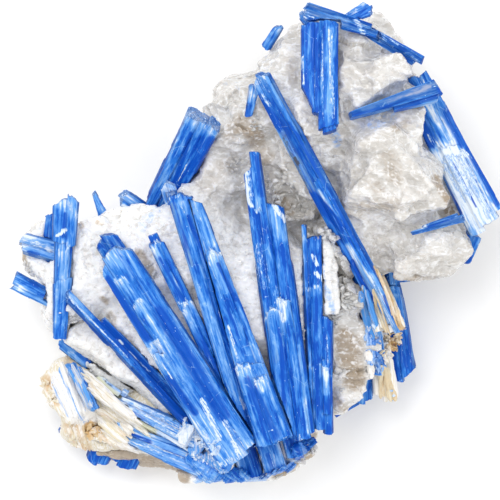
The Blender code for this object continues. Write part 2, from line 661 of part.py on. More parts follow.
def boxes_meet(first: bpy.types.Object, second: bpy.types.Object) -> bool:
    """Whether the boxes round two objects overlap."""
    low_a, high_a = box_of(first)
    low_b, high_b = box_of(second)
    return all(low_a[axis] < high_b[axis] and low_b[axis] < high_a[axis] for axis in range(3))


def stand_on_origin(objects: list[bpy.types.Object]) -> None:
    """Moves the whole cluster so that the origin is under the middle of its box."""
    boxes = [box_of(obj) for obj in objects]
    low = Vector([min(box[0][axis] for box in boxes) for axis in range(3)])
    high = Vector([max(box[1][axis] for box in boxes) for axis in range(3)])
    shift = Vector((-(low.x + high.x) / 2, -(low.y + high.y) / 2, -low.z))
    for obj in objects:
        obj.matrix_world = Matrix.Translation(shift) @ obj.matrix_world


def solid_of(crystal: Blade | Rock, grow: float = 0.0) -> bpy.types.Object:
    """The solid of a blade or a rock, grown outwards where it is to be a mould for its neighbours."""
    if isinstance(crystal, Blade):
        return blade_solid(crystal, grow)
    return rock_solid(crystal, grow)


def build() -> None:
    """Makes every crystal and the quartz, each cut back from those listed before it."""
    cluster = clear_scene()
    floor = floor_block()
    hollows = [
        mesh_object("hollow", lump_mesh(hollow, HOLLOW_SEED + number, 0.0), Matrix.Identity(4))
        for number, hollow in enumerate(HOLLOWS)
    ]
    made = []
    moulds = []
    for crystal in BLADES + ROCKS:
        if crystal.name == "quartz_matrix":
            sockets = [hull_of(mould) for mould in moulds[:len(BLADES)]]
            discard(moulds[:len(BLADES)])
            moulds = sockets + moulds[len(BLADES):] + hollows
        solid = solid_of(crystal)
        near = [mould for mould in moulds + [floor] if boxes_meet(mould, solid)]
        if near:
            combine(solid, near, "DIFFERENCE")
        tidy(solid)
        solid.name = crystal.name
        solid.data.materials.clear()
        solid.data.materials.append(material(crystal.finish))
        moulds.append(solid_of(crystal, GAP))
        made.append(solid)
    discard(moulds + [floor])
    for solid in made:
        bpy.context.scene.collection.objects.unlink(solid)
        cluster.objects.link(solid)
    stand_on_origin(made)


build()
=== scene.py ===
"""Looks of the kyanite blade cluster: every crystal of the frame gets its fine shape and its finish.

The frame's solids are plain laths and broken blocks. Each blade is cut here into a fine mesh along its own
length and given the grooves, steps, splintered ends and pale wear of kyanite. The quartz is remade as a
mass of small grains and clear broken faces, and the weathered corner as fibres and crumbs. Lengths are in
millimetres until a mesh is handed back to the scene.
"""

from __future__ import annotations

import itertools
import logging
import math
from abc import ABC, abstractmethod
from dataclasses import dataclass, field
from enum import Enum

import bmesh
import bpy
import numpy as np
from bpy.types import Material, Mesh, NodeSocket, Object
from mathutils import Matrix, Vector
from mathutils.bvhtree import BVHTree
from mathutils.kdtree import KDTree


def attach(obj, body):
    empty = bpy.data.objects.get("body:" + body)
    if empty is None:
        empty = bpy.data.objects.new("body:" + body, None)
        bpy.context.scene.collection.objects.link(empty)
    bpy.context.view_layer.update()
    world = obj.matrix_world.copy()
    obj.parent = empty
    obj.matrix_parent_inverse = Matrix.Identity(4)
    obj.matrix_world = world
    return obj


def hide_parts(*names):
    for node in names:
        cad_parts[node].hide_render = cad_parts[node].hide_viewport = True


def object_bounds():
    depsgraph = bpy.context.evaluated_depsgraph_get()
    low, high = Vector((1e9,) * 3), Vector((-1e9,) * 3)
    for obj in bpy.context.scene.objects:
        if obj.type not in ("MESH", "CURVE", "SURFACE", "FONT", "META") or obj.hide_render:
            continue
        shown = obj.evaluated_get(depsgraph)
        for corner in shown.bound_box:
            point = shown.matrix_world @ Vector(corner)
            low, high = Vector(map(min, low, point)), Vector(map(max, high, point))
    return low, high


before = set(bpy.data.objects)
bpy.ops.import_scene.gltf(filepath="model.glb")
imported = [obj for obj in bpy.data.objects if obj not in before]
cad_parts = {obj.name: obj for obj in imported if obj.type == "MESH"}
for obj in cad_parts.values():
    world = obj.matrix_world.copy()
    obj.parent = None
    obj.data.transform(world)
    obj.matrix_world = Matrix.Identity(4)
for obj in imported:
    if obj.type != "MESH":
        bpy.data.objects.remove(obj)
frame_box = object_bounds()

MM = 0.001
COARSE = 1.0
TINY = 1e-12  # keeps a division from failing on nothing
SAME_PLACE = 0.001  # corners closer than this are one corner

Array = np.ndarray
Pair = tuple[float, float]
Triple = tuple[float, float, float]
Place = Pair  # to the right of and above the middle of the cluster, seen from above, in millimetres
Colour = Triple
log = logging.getLogger("kyanite")


# ---------------- noise

HASH_PRIMES = (73856093, 19349663, 83492791)
HASH_MIX = 2654435761
HASH_MASK = 0xFFFFFFFF
HASH_SHIFT = 15
HASH_STEPS = 0xFFFFFF  # how finely chance divides the way from 0 to 1
OCTAVE_STEP = 31  # from the seed of one octave to that of the next
FRACTAL_REACH = 1.6  # about as far as three octaves swing together
NEIGHBOURS = tuple(itertools.product((-1, 0, 1), repeat=3))
FAR = 9.0  # further than any neighbouring cell, in cells
GRAIN_MARGIN, GRAIN_ROOM = 0.15, 0.7  # where the middle of a grain may lie in its cell
GRAIN_FLATNESS = 0.85


def chance(cells: Array, seed: int) -> Array:
    """A fixed random number from 0 to 1 for every whole-numbered cell.

    Args:
        cells: Whole numbers, one row for each point and one column for each direction.
        seed: Picks one of many independent fields.

    Returns:
        One number for each row.
    """
    mixed = np.full(len(cells), (seed * HASH_MIX) & HASH_MASK, np.uint64)
    for axis in range(cells.shape[1]):
        column = cells[:, axis].astype(np.int64) & HASH_MASK
        mixed = mixed ^ (column.astype(np.uint64) * np.uint64(HASH_PRIMES[axis]) & np.uint64(HASH_MASK))
        mixed = (mixed * np.uint64(HASH_MIX)) & np.uint64(HASH_MASK)
        mixed = mixed ^ (mixed >> np.uint64(HASH_SHIFT))
    return (mixed & np.uint64(HASH_STEPS)).astype(float) / float(HASH_STEPS)


def noise(points: Array, seed: int) -> Array:
    """Smooth noise from -1 to 1, with one swing to a unit of length.

    Args:
        points: One row for each point, with one to three columns.
        seed: Picks one of many independent fields.

    Returns:
        One number for each row.
    """
    base = np.floor(points).astype(np.int64)
    part = points - base
    part = part * part * (3.0 - 2.0 * part)
    total = np.zeros(len(points))
    for corner in itertools.product((0, 1), repeat=points.shape[1]):
        weight = np.ones(len(points))
        for axis, step in enumerate(corner):
            weight = weight * (part[:, axis] if step else 1.0 - part[:, axis])
        total += weight * chance(base + np.array(corner), seed)
    return 2.0 * total - 1.0


def wave(line: Array, reach: float, run: float, seed: int) -> Array:
    """Noise along a line, that swings by reach to each side and has one swing to a run."""
    return reach * noise(line / run, seed)


def fractal(points: Array, seed: int, octaves: int = 3) -> Array:
    """Noise with finer noise upon it, from about -1 to 1.

    Args:
        points: One row for each point.
        seed: Picks one of many independent fields.
        octaves: How many noises lie upon one another.

    Returns:
        One number for each row.
    """
    total = np.zeros(len(points))
    for octave in range(octaves):
        total += noise(points * 2.0**octave, seed + OCTAVE_STEP * octave) * 0.5**octave
    return total / FRACTAL_REACH


def ease(value: Array, low: float, high: float) -> Array:
    """A smooth ramp from 0 at low to 1 at high."""
    share = np.clip((value - low) / (high - low), 0.0, 1.0)
    return share * share * (3.0 - 2.0 * share)


def grains(points: Array, size: float, seed: int) -> tuple[Array, Array]:
    """How deep each point lies in a mass of tightly packed, turned, boxy grains.

    Args:
        points: Places in millimetres, one row each.
        size: The usual width of a grain.
        seed: Picks one of many packings.

    Returns:
        The distance from the middle of the nearest grain as a share of its width, and a number from 0 to 1
        that is the same all over one grain.
    """
    scaled = points / size
    cell = np.floor(scaled).astype(np.int64)
    nearest = np.full(len(points), FAR)
    own = np.zeros(len(points))
    for offset in NEIGHBOURS:
        there = cell + np.array(offset)
        shift = [chance(there, seed + axis) for axis in range(3)]
        turn = [2.0 * math.pi * chance(there, seed + 7 + axis) for axis in range(2)]
        away = [
            scaled[:, axis] - there[:, axis] - GRAIN_MARGIN - GRAIN_ROOM * shift[axis] for axis in range(3)
        ]
        c, s = np.cos(turn[0]), np.sin(turn[0])
        x, y = c * away[0] - s * away[1], s * away[0] + c * away[1]
        c, s = np.cos(turn[1]), np.sin(turn[1])
        y, z = c * y - s * away[2], s * y + c * away[2]
        reach = np.maximum(np.maximum(np.abs(x), np.abs(y)), np.abs(z) * GRAIN_FLATNESS)
        closer = reach < nearest
        nearest = np.where(closer, reach, nearest)
        own = np.where(closer, chance(there, seed + 19), own)
    return nearest, own


# ---------------- meshes


def to_mm(mesh: Mesh) -> Array:
    """A mesh's points in millimetres, one row each."""
    found = np.empty(len(mesh.vertices) * 3)
    mesh.vertices.foreach_get("co", found)
    return found.reshape(-1, 3) / MM


def write_points(mesh: Mesh, points: Array) -> None:
    """Puts points in millimetres back into a mesh."""
    mesh.vertices.foreach_set("co", (points * MM).astype(np.float32).ravel())
    mesh.update()


def write_attribute(mesh: Mesh, name: str, values: Array) -> None:
    """Stores a number or a vector for each point of a mesh, for its material to read.

    Args:
        mesh: The mesh.
        name: The name that the material reads them by.
        values: One number or one row for each point.
    """
    if values.ndim == 2:
        made = mesh.attributes.new(name, "FLOAT_VECTOR", "POINT")
        made.data.foreach_set("vector", values.astype(np.float32).ravel())
    else:
        made = mesh.attributes.new(name, "FLOAT", "POINT")
        made.data.foreach_set("value", values.astype(np.float32))


def triangles_of(mesh: Mesh) -> Array:
    """The three points of each triangle of a mesh, as whole numbers."""
    mesh.calc_loop_triangles()
    found = np.empty(len(mesh.loop_triangles) * 3, np.int32)
    mesh.loop_triangles.foreach_get("vertices", found)
    return found.reshape(-1, 3)


def normals_of(points: Array, triangles: Array) -> Array:
    """The outward direction at each point, to which its larger triangles add more.

    Args:
        points: One row for each point.
        triangles: Three points for each triangle.

    Returns:
        One direction for each point.
    """
    corner = points[triangles]
    face = np.cross(corner[:, 1] - corner[:, 0], corner[:, 2] - corner[:, 0])
    total = np.zeros((len(points), 3))
    for number in range(3):
        for axis in range(3):
            total[:, axis] += np.bincount(triangles[:, number], face[:, axis], len(points))
    return total / np.maximum(np.linalg.norm(total, axis=1, keepdims=True), TINY)


class Limits:
    """The box of the whole frame, which no piece leaves."""

    def __init__(self) -> None:
        """Takes the box that the frame has before anything is dressed."""
        low, high = frame_box
        self.corners = (list(low), list(high))
        self.low = np.array(low) / MM
        self.high = np.array(high) / MM

    def keep_in(self, points: Array) -> Array:
        """Points moved back into the box, in millimetres."""
        return np.clip(points, self.low, self.high)

    def write(self) -> None:
        """Does nothing: neither the frame's box nor that of the dressed cluster is written."""


LIMITS = Limits()


def finish_piece(piece: Object, nodes: tuple[str, ...]) -> None:
    """Hands a finished piece to the frame.

    Args:
        piece: The new object, in place.
        nodes: The frame's nodes that it stands for.
    """
    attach(piece, "root")
    if nodes:
        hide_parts(*nodes)
    log.info("%s: %d faces", piece.name, len(piece.data.polygons))


def placed(thing: Object) -> Object:
    """The same object, now in the scene."""
    bpy.context.scene.collection.objects.link(thing)
    return thing


def new_object(name: str, mesh: Mesh, material: Material) -> Object:
    """A scene object for a mesh with one material.

    Args:
        name: The object's name.
        mesh: Its mesh.
        material: Its material.

    Returns:
        The new object.
    """
    mesh.materials.clear()
    mesh.materials.append(material)
    return placed(bpy.data.objects.new(name, mesh))


# ---------------- materials


class Tree:
    """A material whose nodes are added one after another."""

    DETAIL = 3.0  # the usual number of finer octaves of noise
    ROUGHNESS = 0.6  # how strong they are
    MIX_INPUTS = (0, 6, 7)  # the factor and the two colours of a mix
    MIX_OUTPUT = 2

    def __init__(self, name: str) -> None:
        """Starts a material that has a Principled shader."""
        self.material = bpy.data.materials.new(name)
        self.material.use_nodes = True
        self.tree = self.material.node_tree
        self.shader = self.tree.nodes["Principled BSDF"]

    def feed(self, socket: NodeSocket, value: object) -> None:
        """Links a socket to another one, or sets its value.

        Args:
            socket: The socket that is fed.
            value: Another socket, a number or a colour.
        """
        if isinstance(value, NodeSocket):
            self.tree.links.new(value, socket)
        elif socket.type == "RGBA":
            socket.default_value = (*value, 1.0)
        else:
            socket.default_value = value

    def add(self, kind: str, inputs: dict[int | str, object], **settings: str) -> bpy.types.Node:
        """Adds a node.

        Args:
            kind: Its type, without the ShaderNode that all their names start with.
            inputs: What each of its inputs gets: a socket or a value.
            settings: Its own settings.

        Returns:
            The node.
        """
        node = self.tree.nodes.new("ShaderNode" + kind)
        for name, setting in settings.items():
            setattr(node, name, setting)
        for name, value in inputs.items():
            self.feed(node.inputs[name], value)
        return node

    def set(self, **values: object) -> None:
        """Sets or links the shader's sockets, whose names are written with _ for a space."""
        for name, value in values.items():
            self.feed(self.shader.inputs[name.replace("_", " ")], value)

    def attribute(self, name: str, output: str = "Fac") -> NodeSocket:
        """What a mesh holds for each point under a name."""
        return self.add("Attribute", {}, attribute_name=name).outputs[output]

    def stretched(self, vector: NodeSocket, scale: Triple) -> NodeSocket:
        """A vector with its three parts scaled."""
        return self.add("Mapping", {"Vector": vector, "Scale": scale}).outputs["Vector"]

    def bent(self, vector: NodeSocket, scale: float, amount: float) -> NodeSocket:
        """A vector shifted to and fro by noise.

        Args:
            vector: Where the pattern is read.
            scale: Swings to a millimetre.
            amount: About how far it is shifted, in millimetres.

        Returns:
            The shifted vector's socket.
        """
        sway = self.add("TexNoise", {"Vector": vector, "Scale": scale, "Detail": self.DETAIL})
        inputs = {0: sway.outputs["Color"], 1: (amount, amount, amount), 2: vector}
        return self.add("VectorMath", inputs, operation="MULTIPLY_ADD").outputs[0]

    def noise(
        self, vector: NodeSocket, scale: Triple, detail: float = DETAIL, warp: float = 0.0
    ) -> NodeSocket:
        """Noise with its own scale in each direction.

        Args:
            vector: Where the pattern is read.
            scale: Swings to a millimetre in each direction.
            detail: How many finer octaves lie upon it.
            warp: How far the pattern is bent by itself.

        Returns:
            A socket with numbers from 0 to 1.
        """
        inputs = {
            "Vector": self.stretched(vector, scale), "Scale": 1.0, "Detail": detail,
            "Roughness": self.ROUGHNESS, "Distortion": warp,
        }
        return self.add("TexNoise", inputs).outputs["Fac"]

    def cells(
        self, vector: NodeSocket, scale: Triple, feature: str = "F1", output: str = "Distance"
    ) -> NodeSocket:
        """A pattern of cells with its own scale in each direction.

        Args:
            vector: Where the pattern is read.
            scale: Cells to a millimetre in each direction.
            feature: Blender's name for what is measured.
            output: The output to read.

        Returns:
            The output's socket.
        """
        inputs = {"Vector": self.stretched(vector, scale), "Scale": 1.0}
        return self.add("TexVoronoi", inputs, feature=feature).outputs[output]

    def math(self, operation: str, first: object, second: object = 0.0) -> NodeSocket:
        """One sum on two numbers."""
        return self.add("Math", {0: first, 1: second}, operation=operation).outputs[0]

    def total(self, *terms: tuple[object, float]) -> NodeSocket:
        """The sum of sockets, each with its own weight.

        Args:
            terms: Each socket and its weight.

        Returns:
            The sum's socket.
        """
        result: object = 0.0
        for socket, weight in terms:
            inputs = {0: socket, 1: weight, 2: result}
            result = self.add("Math", inputs, operation="MULTIPLY_ADD").outputs[0]
        return result

    def ramp(
        self, value: object, low: float, high: float, bottom: float = 0.0, top: float = 1.0
    ) -> NodeSocket:
        """A smooth ramp from bottom at low to top at high.

        Args:
            value: The number that is read.
            low: Where the ramp starts.
            high: Where the ramp ends.
            bottom: Its value at the start.
            top: Its value at the end.

        Returns:
            The ramp's socket.
        """
        inputs = dict(enumerate((value, low, high, bottom, top)))
        return self.add("MapRange", inputs, interpolation_type="SMOOTHSTEP").outputs[0]

    def mix(self, factor: object, first: object, second: object) -> NodeSocket:
        """Two colours mixed by a factor.

        Args:
            factor: How much of the second shows.
            first: A colour or a socket.
            second: A colour or a socket.

        Returns:
            The mixed colour's socket.
        """
        inputs = dict(zip(self.MIX_INPUTS, (factor, first, second)))
        return self.add("Mix", inputs, data_type="RGBA").outputs[self.MIX_OUTPUT]

    def bump(self, height: object, distance: float, strength: float) -> None:
        """Gives the shader a relief.

        Args:
            height: The height's socket.
            distance: How far a height of 1 stands out, in millimetres.
            strength: How strongly the relief shows.
        """
        node = self.add("Bump", {"Strength": strength, "Distance": distance * MM, "Height": height})
        self.tree.links.new(node.outputs["Normal"], self.shader.inputs["Normal"])


@dataclass(frozen=True)
class KyaniteFinish:
    """Blue kyanite: streaks along the grain, pale wear, fine specks and hairline cracks, with painted shade
    on its steep sides and in near-black spots.
    """

    name: str
    deep: Colour
    middle: Colour
    pale: Colour
    # the colour of painted shade on steep sides
    side_shade: Colour
    worn: Colour
    tint: Colour
    rust: Colour
    roughness: float

    DEEPEST = 2.01  # what the streaks add up to where the blue is deepest

    def material(self) -> Material:
        """The finish's material."""
        t = Tree(self.name)
        grain = t.attribute("grain", "Vector")
        broad = t.noise(grain, (0.34, 0.035, 0.34), 2.0)
        lath = t.noise(grain, (1.1, 0.06, 1.1), 3.0, 0.2)
        hair = t.noise(grain, (1.9, 0.10, 1.9), 3.0)
        haze = t.noise(grain, (0.9, 0.26, 0.9), 5.0, 0.4)
        tone = t.total((broad, 0.8), (lath, 1.1), (hair, 1.5), (haze, 1.5), (t.attribute("tone"), 1.0))
        tone = t.math("SUBTRACT", tone, self.DEEPEST)
        colour = t.mix(t.ramp(tone, 0.22, 0.52), self.deep, self.middle)
        colour = t.mix(t.ramp(tone, 0.50, 0.95), colour, self.pale)
        colour = t.mix(t.ramp(tone, 0.92, 1.45), colour, self.worn)
        # painted shade: faces that turn sideways take the darker side colour
        colour = t.mix(t.ramp(t.attribute("side_shade"), 0.0, 1.0, 0.0, 0.6), colour, self.side_shade)
        deep = t.total((t.attribute("deep"), 1.0), (lath, 1.4), (hair, 0.8))
        colour = t.mix(t.ramp(deep, 1.35, 2.10), colour, self.deep)
        tint = t.total((t.attribute("tint"), 1.0), (lath, 1.2), (hair, 0.8))
        colour = t.mix(t.ramp(tint, 1.25, 2.2), colour, self.tint)
        thread = t.noise(grain, (2.2, 0.07, 2.2), 4.0, 0.2)
        patches = t.noise(grain, (0.45, 0.08, 0.45), 2.0)
        gritty = t.noise(grain, (2.6, 1.0, 2.6), 4.0)
        streaks = t.math("MULTIPLY", t.ramp(thread, 0.54, 0.70), t.ramp(patches, 0.44, 0.64))
        colour = t.mix(t.ramp(streaks, 0.0, 1.0, 0.0, 0.6), colour, self.pale)
        cracks = t.cells(t.bent(grain, 0.5, 0.8), (0.16, 0.10, 0.16), feature="DISTANCE_TO_EDGE")
        cracks = t.math("MULTIPLY", t.ramp(cracks, 0.012, 0.003), t.ramp(patches, 0.48, 0.64, 0.0, 0.3))
        colour = t.mix(cracks, colour, SPECK_COLOUR)
        specks = t.ramp(t.cells(grain, (1.1, 0.7, 1.1)), 0.14, 0.06)
        specks = t.math("MULTIPLY", specks, t.ramp(gritty, 0.47, 0.60, 0.0, 0.8))
        wear = t.total((t.attribute("wear"), 1.0), (thread, 2.0), (gritty, 1.5))
        wear = t.ramp(wear, 2.20, 2.85, 0.0, 0.92)
        colour = t.mix(t.ramp(wear, 0.0, 0.5), colour, self.pale)
        colour = t.mix(t.ramp(wear, 0.25, 1.0), colour, self.worn)
        colour = t.mix(specks, colour, SPECK_COLOUR)
        stain = t.total((t.attribute("tan"), 1.0), (gritty, 1.0), (thread, 1.4))
        colour = t.mix(t.ramp(stain, 1.80, 2.40), colour, self.rust)
        # painted shade: near-black spots where the dark marks lie
        shade_spots = t.total((t.attribute("dark"), 1.0), (gritty, 2.0))
        colour = t.mix(t.ramp(shade_spots, 1.65, 2.20, 0.0, 0.9), colour, SHADE_SPOT_COLOUR)
        t.set(Base_Color=colour, Specular_IOR_Level=0.12, IOR=1.6)
        t.set(Roughness=t.ramp(wear, 0.0, 1.0, self.roughness, 0.8))
        t.bump(t.total((lath, 0.8), (hair, 0.8), (thread, 0.5), (gritty, 0.15), (wear, 0.3)), 0.35, 0.8)
        return t.material


@dataclass(frozen=True)
class QuartzFinish:
    """Quartz from sugary white to clear grey, with smoky hearts, iron stain and white flaws. Its smoke
    marks also paint shade in gaps, hollows and along lower edges, and its sugar has painted sparkle with
    painted shade between the grains.
    """

    name: str
    milk: Colour
    glass: Colour
    # smoky quartz, and also painted shade in gaps, hollows and along lower edges
    smoke_and_shade: Colour
    iron: Colour
    blue: Colour
    roughness: float

    def material(self) -> Material:
        """The finish's material."""
        t = Tree(self.name)
        grain = t.attribute("grain", "Vector")
        clear = t.attribute("clear")
        bent = t.bent(grain, 0.35, 2.2)
        cloud = t.noise(grain, (0.11, 0.11, 0.11), 4.0, 0.6)
        fine = t.noise(grain, (0.9, 0.9, 0.9), 4.0, 0.5)
        plate = t.cells(bent, (0.17, 0.34, 0.24), output="Color")
        chip = t.cells(bent, (0.55, 0.95, 0.75), output="Color")
        bright = t.total((plate, 0.55), (chip, 0.40), (cloud, 0.9), (fine, 0.45))
        glassy = t.mix(t.ramp(bright, 0.70, 1.95), self.glass, self.milk)
        # painted sparkle and painted shade on sugary quartz: the grains lighter, the crevices between them
        # darker
        sparkle = t.total((chip, 0.5), (fine, 1.0), (cloud, 0.8), (t.attribute("pit"), -0.3))
        sugary = t.mix(t.ramp(sparkle, 0.60, 1.30), self.milk, SUGAR_COLOUR)
        shaded = t.ramp(sparkle, 1.12, 0.80, 0.0, 0.55)
        sugary = t.mix(shaded, sugary, self.glass)
        colour = t.mix(clear, sugary, glassy)
        # grey-brown spots, with painted shade where points lie deep in crevices
        spots_and_crevice_shade = t.total((fine, 1.0), (cloud, 0.8), (t.attribute("pit"), 0.35))
        colour = t.mix(t.ramp(spots_and_crevice_shade, 1.00, 1.45, 0.0, 0.40), colour, self.smoke_and_shade)
        # smoky quartz in places, painted shade in gaps, hollows and along lower edges in others
        smoky = t.total((t.attribute("smoke_and_shade"), 1.0), (cloud, 1.5), (fine, 1.5), (chip, 0.25))
        colour = t.mix(t.ramp(smoky, 1.80, 3.0, 0.0, 0.85), colour, self.smoke_and_shade)
        veil = t.noise(bent, (0.35, 1.3, 0.8), 4.0, 0.6)
        edges = t.total((t.attribute("ridge"), 1.0), (fine, 1.2))
        flaws = t.math("MAXIMUM", t.ramp(edges, 1.0, 1.5), t.ramp(veil, 0.56, 0.76))
        film = t.math("ABSOLUTE", t.math("SUBTRACT", t.noise(bent, (0.13, 0.36, 0.24), 1.0, 0.5), 0.5))
        film = t.math("MULTIPLY", t.ramp(film, 0.024, 0.006), t.ramp(cloud, 0.46, 0.58))
        film = t.math("MULTIPLY", film, t.ramp(t.attribute("smoke_and_shade"), 0.30, 0.0))
        flaws = t.math("MAXIMUM", flaws, film)
        colour = t.mix(t.math("MULTIPLY", flaws, t.math("MULTIPLY", clear, 0.7)), colour, WHITE)
        rust = t.total((t.attribute("iron"), 1.0), (fine, 2.2))
        colour = t.mix(t.ramp(rust, 1.5, 2.6, 0.0, 0.8), colour, self.iron)
        blue = t.total((t.attribute("blue"), 1.0), (fine, 2.6))
        colour = t.mix(t.ramp(blue, 1.6, 2.7, 0.0, 0.85), colour, self.blue)
        t.set(Base_Color=colour, IOR=1.54, Specular_IOR_Level=0.5)
        t.set(Subsurface_Weight=0.7, Subsurface_Scale=2.5 * MM, Subsurface_Radius=(1.0, 0.93, 0.86))
        t.set(Roughness=t.ramp(chip, 0.2, 0.8, self.roughness, self.roughness + 0.25))
        shell = t.cells(t.bent(grain, 0.3, 1.1), (0.75, 1.0, 0.6))
        t.bump(t.total((fine, 0.5), (shell, 0.9), (plate, 0.35), (chip, 0.4), (cloud, 0.3)), 0.35, 0.7)
        return t.material


@dataclass(frozen=True)
class WeatheredFinish:
    """Altered kyanite: cream to white fibres with tan stain, a little blue left in it and near-black spots
    of painted shade.
    """

    name: str
    cream: Colour
    white: Colour
    rust: Colour
    blue: Colour

    def material(self) -> Material:
        """The finish's material."""
        t = Tree(self.name)
        grain = t.attribute("grain", "Vector")
        fibre = t.noise(grain, (2.4, 0.10, 2.4), 4.0)
        cloud = t.noise(grain, (0.22, 0.12, 0.22), 3.0)
        gritty = t.noise(grain, (1.6, 0.9, 1.6), 4.0)
        tone = t.total((t.attribute("tone"), 0.5), (fibre, 1.0))
        colour = t.mix(t.ramp(tone, 0.40, 0.62), self.cream, self.white)
        rust = t.total((t.attribute("tan"), 1.0), (cloud, 1.2), (fibre, 0.6), (gritty, 0.6))
        colour = t.mix(t.ramp(rust, 1.35, 2.15), colour, self.rust)
        blue = t.total((t.attribute("deep"), 1.0), (fibre, 1.6))
        colour = t.mix(t.ramp(blue, 1.15, 1.65), colour, self.blue)
        # painted shade: near-black spots where the dark marks lie
        shade_spots = t.total((t.attribute("dark"), 1.0), (gritty, 1.0))
        colour = t.mix(t.ramp(shade_spots, 1.0, 1.35), colour, SHADE_SPOT_COLOUR)
        t.set(Base_Color=colour, Roughness=0.7, IOR=1.6, Specular_IOR_Level=0.35)
        t.bump(t.total((fibre, 1.0), (gritty, 0.6), (cloud, 0.5)), 0.35, 0.8)
        return t.material


@dataclass(frozen=True)
class FloorFinish:
    """The plain pale floor."""

    name: str
    colour: Colour

    def material(self) -> Material:
        """The finish's material."""
        t = Tree(self.name)
        t.set(Base_Color=self.colour, Roughness=0.9, Specular_IOR_Level=0.1)
        return t.material


WHITE = (0.93, 0.93, 0.94)
SUGAR_COLOUR = (0.955, 0.945, 0.925)
SPECK_COLOUR = (0.50, 0.80, 1.0)
# the near-black colour of painted shade spots
SHADE_SPOT_COLOUR = (0.07, 0.07, 0.08)


# ---------------- blades


class Piece(ABC):
    """Something that makes its own mesh and hands it to the frame."""

    @abstractmethod
    def build(self) -> None:
        """Makes the piece's mesh and hands it to the frame."""


class Kind(Enum):
    """What a mark on a crystal does to its surface."""

    WEAR = "wear"
    PALE = "tone"
    DEEP = "deep"
    TINT = "tint"
    TAN = "tan"
    # painted shade: near-black spots in gaps and under overhanging edges
    DARK = "dark"
    # smoky quartz, and painted shade in gaps, hollows and along lower edges
    SMOKE = "smoke_and_shade"
    IRON = "iron"
    BLUE = "blue"

    def __call__(self, start: Place, end: Place, wide: float, strength: float = 1.0) -> Mark:
        """A mark of this kind."""
        return Mark(self, start, end, wide, strength)


@dataclass(frozen=True)
class Mark:
    """A streak of some kind, as seen from above.

    It runs between two places in millimetres to the right of and above the middle of the cluster, and
    reaches wide millimetres to each side.
    """

    kind: Kind
    start: Place
    end: Place
    wide: float
    strength: float = 1.0

    EDGE = (0.35, 1.2)  # where it starts to fade and where it ends

    def weight(self, points: Array) -> Array:
        """How strongly the mark shows.

        Args:
            points: Places in millimetres, one row each.

        Returns:
            One number for each row.
        """
        start = np.array(self.start)
        run = np.array(self.end) - start
        away = points[:, :2] - start
        share = np.clip(away @ run / max(run @ run, TINY), 0.0, 1.0)
        off = np.linalg.norm(away - share[:, None] * run, axis=1) / self.wide
        return self.strength * (1.0 - ease(off, *self.EDGE))


def painted(marks: tuple[Mark, ...], kind: Kind, points: Array) -> Array:
    """The strongest mark of one kind at each point.

    Args:
        marks: Marks of every kind.
        kind: The kind that counts.
        points: Places in millimetres, one row each.

    Returns:
        One number for each row.
    """
    total = np.zeros(len(points))
    for mark in marks:
        if mark.kind is kind:
            total = np.maximum(total, mark.weight(points))
    return total


@dataclass(frozen=True)
class Flake:
    """A raised splinter on a blade's upper face, with a ragged flame-shaped tip.

    The tip and the foot are places seen from above. The half width and the rise are in millimetres.
    """

    tip: Place
    foot: Place
    wide: float
    rise: float = 0.4


def by_strip(local: Array, width: float, seed: int) -> Array:
    """A fixed random number from 0 to 1 for each strip of that width that runs along a blade."""
    return chance(np.floor(local[:, [0]] / width), seed)


def closed_copy(node: str) -> bmesh.types.BMesh:
    """A copy of a node's solid whose faces share their corners.

    Args:
        node: The frame's node.

    Returns:
        A new mesh, which the caller frees.
    """
    bm = bmesh.new()
    bm.from_mesh(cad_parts[node].data)
    bmesh.ops.remove_doubles(bm, verts=bm.verts, dist=SAME_PLACE * MM)
    bm.normal_update()
    return bm


@dataclass(frozen=True)
class Axes:
    """A crystal's own directions, as the rows of a turn: across it, along it and out of its broad face."""

    turn: Array
    middle: Array

    SHARP = 0.15  # the least angle between the faces of a sharp edge
    LEVEL = 0.25  # a blade that climbs less than this to +Y counts as level
    STEEPEST = 0.2

    @classmethod
    def of(cls, node: str) -> Axes:
        """Finds the directions from the long sharp edges and the broad faces of a solid.

        Args:
            node: The frame's node.

        Returns:
            Its axes. Along points to +Y, or to +X where the blade lies level, and the face looks up.
        """
        bm = closed_copy(node)
        lines = np.zeros((3, 3))
        for edge in bm.edges:
            if edge.calc_face_angle(0.0) > cls.SHARP:
                run = np.array(edge.verts[1].co - edge.verts[0].co)
                lines += np.outer(run, run) * np.linalg.norm(run)
        along = np.linalg.eigh(lines)[1][:, -1]
        if (along[1] if abs(along[1]) > cls.LEVEL else along[0]) < 0.0:
            along = -along
        sides = np.zeros((3, 3))
        for face in bm.faces:
            normal = np.array(face.normal)
            normal -= along * (normal @ along)
            sides += np.outer(normal, normal) * face.calc_area()
        points = np.array([vertex.co for vertex in bm.verts]) / MM
        bm.free()
        face = np.linalg.eigh(sides)[1][:, -1]
        face = face - along * (face @ along)
        face /= np.linalg.norm(face)
        if face[2] < 0.0:
            face = -face
        middle = 0.5 * (points.min(axis=0) + points.max(axis=0))
        return cls(np.array((np.cross(along, face), along, face)), middle)

    def inward(self, points: Array) -> Array:
        """Points in the crystal's own directions."""
        return (points - self.middle) @ self.turn.T

    def outward(self, points: Array) -> Array:
        """Points back in the frame's directions."""
        return points @ self.turn + self.middle

    def beneath(self, place: Place) -> Array:
        """Where on the crystal a place seen from above is.

        Args:
            place: The place seen from above.

        Returns:
            How far across and along the crystal it lies, in millimetres.
        """
        face = self.turn[2]
        away = np.array(place) - self.middle[:2]
        drop = -(away @ face[:2]) / max(face[2], self.STEEPEST)
        return (self.turn @ np.array((*away, drop)))[:2]


